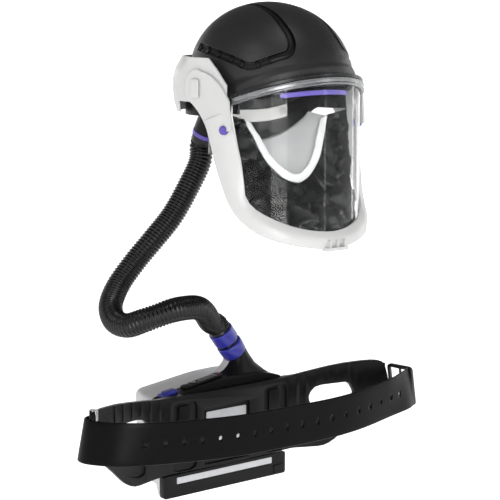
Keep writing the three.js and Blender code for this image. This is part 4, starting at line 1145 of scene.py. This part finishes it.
def crown_rows(turn, half_span, lift, across, steps):
    """A tape over the crown of the head, turned round Z from front-to-back, in degrees."""
    turned = Matrix.Rotation(math.radians(turn), 3, "Z")
    rows = []
    for i in range(steps + 1):
        angle = math.radians(-half_span + 2 * half_span * i / steps)
        y = CRADLE_REACH * INSIDE_CRADLE * math.sin(angle)
        z = CRADLE_BASE + CRADLE_RISE * INSIDE_CRADLE * math.cos(angle) + lift * math.cos(angle) ** 4
        rows.append([turned @ Vector(((v - 0.5) * CROWN_TAPE_WIDTH, y, z)) for v in across])
    return rows


def tape(name, rows, thick, slot, replaces):
    mesh = sheet_mesh(name, rows, rounded_half(len(rows[0]), thick))
    return new_piece(mesh, slot, "helmet", replaces)


def add_harness():
    across = edge_columns(BAND_TALL, TAPE_RIM, 4)
    tape("headband_frame", band_rows(0.63, 1.37, 0, across, 90), 0.002, "black_plastic", ["headband"])
    tape("nape_tape", band_rows(0.345, 0.655, -0.0022, across, 40), 0.0016, "white_webbing", ["nape_strap"])
    across = edge_columns(CROWN_TAPE_WIDTH, TAPE_RIM, 4)
    tape("crown_tape_front", crown_rows(0, 66, 0.0, across, 48), 0.0014, "black_fabric", ["crown_cradle"])
    tape("crown_tape_side", crown_rows(90, 60, 0.0012, across, 48), 0.0014, "black_fabric", ["crown_cradle"])


def puffed(node, cap):
    """A copy of a node's shape, swelled by cloth pressure and smoothed."""
    mesh = frame["nodes"][node].data.copy()
    mesh.name = node + "_padding"
    piece = linked(mesh)
    remesh = piece.modifiers.new("remesh", "REMESH")
    remesh.mode = "VOXEL"
    remesh.voxel_size = PUFF_VOXEL
    apply_modifiers(piece)
    start = [v.co.copy() for v in piece.data.vertices]
    cloth = piece.modifiers.new("cloth", "CLOTH")
    cloth.settings.use_pressure = True
    cloth.settings.uniform_pressure_force = 4
    cloth.settings.effector_weights.gravity = 0
    cloth.point_cache.frame_end = PUFF_FRAMES
    step_frames(PUFF_FRAMES)
    apply_modifiers(piece)
    scene.frame_set(1)
    for vertex, was in zip(piece.data.vertices, start):
        away = vertex.co - was
        vertex.co = was + away.normalized() * min(away.length, cap)
    soften = piece.modifiers.new("soften", "SUBSURF")
    soften.levels = 1
    apply_modifiers(piece)
    return piece


def add_brow_pad():
    pad = puffed("brow_pad", cap=0.0012)
    dress(pad, "black_fabric", "helmet", ["brow_pad"])


# ---- waist strap

STRAP_LINE = [
    (-0.236, 0.084), (-0.250, 0.081), (-0.261, 0.075), (-0.2665, 0.066), (-0.267, 0.055), (-0.260, 0.040),
    (-0.246, 0.022), (-0.222, 0.006), (-0.190, -0.006), (-0.135, -0.017), (-0.070, -0.026), (0, -0.030),
    (0.070, -0.031), (0.130, -0.026), (0.190, -0.013), (0.226, -0.002), (0.252, 0.008), (0.269, 0.018),
]
END_LOOP = [(0.2675, 0.069), (0.262, 0.076), (0.253, 0.080), (0.238, 0.085)]
STRAP_WIDTH = 0.055
STRAP_THICK = 0.0026
STRAP_END_Z = -0.455
STRAP_DROP = 0.006
STRAP_SPLAY = math.tan(math.radians(10))
STRAP_HOLES = 18
HOLE_START = 0.204
HOLE_PITCH = 0.0424
HOLE_RADIUS = 0.003
ROD_LENGTH = 0.016


def strap_rows(plan, steps, across):
    """A strap that follows a line in plan; it hangs lower in front and splays at its ends."""
    line = smooth_line([(x, y, 0) for x, y in plan], steps)
    rows = []
    for i, point in enumerate(line):
        along = (line[min(i + 1, steps)] - line[max(i - 1, 0)]).normalized()
        out = Vector((along.y, -along.x, 0))
        middle = STRAP_END_Z - STRAP_DROP * (1 - smoothstep(abs(point.x), 0.060, 0.270))
        splay = STRAP_SPLAY * smoothstep(abs(point.x), 0.190, 0.262)
        row = []
        for v in across:
            high = (v - 0.5) * STRAP_WIDTH
            row.append(Vector((point.x, point.y, middle + high)) - out * high * splay)
        rows.append(row)
    return rows


def punch_mesh(rows, middle):
    """One rod through the strap at each buckle hole; middle is the strap's middle column."""
    work = bmesh.new()
    last = len(rows) - 1
    for k in range(STRAP_HOLES):
        place = (HOLE_START + HOLE_PITCH * k) * last
        i = int(place)
        centre = rows[i][middle].lerp(rows[i + 1][middle], place - i)
        along = (rows[i + 1][middle] - rows[i][middle]).normalized()
        turn = Vector((along.y, -along.x, 0)).to_track_quat("Z", "Y").to_matrix().to_4x4()
        bmesh.ops.create_cone(
            work, cap_ends=True, segments=20, radius1=HOLE_RADIUS, radius2=HOLE_RADIUS, depth=ROD_LENGTH,
            matrix=Matrix.Translation(centre) @ turn,
        )
    mesh = bpy.data.meshes.new("punch")
    work.to_mesh(mesh)
    work.free()
    return mesh


def add_strap():
    across = edge_columns(STRAP_WIDTH, TAPE_RIM, 8)
    half = rounded_half(len(across), STRAP_THICK)
    rows = strap_rows(STRAP_LINE, 150, across)
    strap = linked(sheet_mesh("waist_strap_band", rows, half))
    cut_by(strap, [linked(punch_mesh(rows, len(across) // 2))])
    dress(strap, "strap_leather", "helmet", ["waist_strap"])
    loop = sheet_mesh("end_loop_band", strap_rows(END_LOOP, 24, across), half)
    new_piece(loop, "strap_leather", "helmet", ["end_loop_left"])


# ---- floor and light

STAGE_RADIUS = 400
STAGE_RIM = 90          # height of the stage's far rim
STAGE_SIDES = 96
STAGE_GLOW = 0.98
WORLD_GLOW = 0.18
BATTERY_DROP = 0.031    # room under the set for the battery to slide out

# Each lamp's name, angle round, angle up, distance, width, height and power.
LAMPS = [
    ("key", -80, 40, 2.2, 0.3, 1.2, 9),
    ("front_strip", -33, 8, 3.0, 1.1, 1.9, 46),
    ("left_strip", 30, 8, 2.8, 0.14, 1.9, 7),
    ("rear_strip", 88, 10, 2.6, 0.1, 1.9, 4),
    ("overhead", -10, 75, 2.4, 0.8, 0.8, 9),
]


def add_floor():
    """A pale floor that runs out to a low rim, so that no horizon shows."""
    rings = [(1.0, 0.0), (STAGE_RADIUS, 0.0), (STAGE_RADIUS * 1.02, STAGE_RIM)]
    points = []
    for radius, height in rings:
        for k in range(STAGE_SIDES):
            turn = 2 * math.pi * k / STAGE_SIDES
            points.append((radius * math.cos(turn), radius * math.sin(turn), height))
    faces = ring_faces(len(rings), STAGE_SIDES)
    faces.append(list(range(STAGE_SIDES)))
    mesh = bpy.data.meshes.new("floor")
    mesh.from_pydata(points, [], faces)
    floor = linked(mesh)
    floor.location.z = CAD_LOW.z - BATTERY_DROP
    material, tree, shader = new_material(
        Roughness=0.9, Specular_IOR_Level=0.1, Emission_Color=(1, 1, 1, 1),
        Emission_Strength=STAGE_GLOW,
    )
    cloud = noise_at(tree, object_place(tree), 0.8)
    tone = mix_colours(tree, cloud, (0.78, 0.78, 0.78), (0.8, 0.8, 0.8))
    tree.links.new(tone, shader.inputs["Base Color"])
    mesh.materials.append(material)


def add_lamp(name, azimuth, elevation, distance, width, height, power):
    """A soft rectangular lamp that faces the middle of the object, and that the camera doesn't see."""
    data = bpy.data.lights.new(name, "AREA")
    data.shape = "RECTANGLE"
    data.size = width
    data.size_y = height
    data.energy = power
    lamp = linked(data)
    way = towards(math.radians(azimuth), math.radians(elevation))
    lamp.location = (CAD_LOW + CAD_HIGH) / 2 + way * distance
    lamp.rotation_euler = way.to_track_quat("Z", "Y").to_euler()
    lamp.visible_camera = False


def add_light():
    world = bpy.data.worlds.new("studio")
    world.use_nodes = True
    sky = world.node_tree.nodes["Background"]
    sky.inputs["Color"].default_value = (1, 1, 1, 1)
    sky.inputs["Strength"].default_value = WORLD_GLOW
    scene.world = world
    for lamp in LAMPS:
        add_lamp(*lamp)
    scene.view_settings.view_transform = "Standard"


# ---- build

finish_cad_nodes()
add_hose()
finish_nodes()
add_shell()
add_brow_rail()
add_face_seal()
add_seal_back()
add_harness()
add_brow_pad()
add_strap()
add_floor()
add_light()
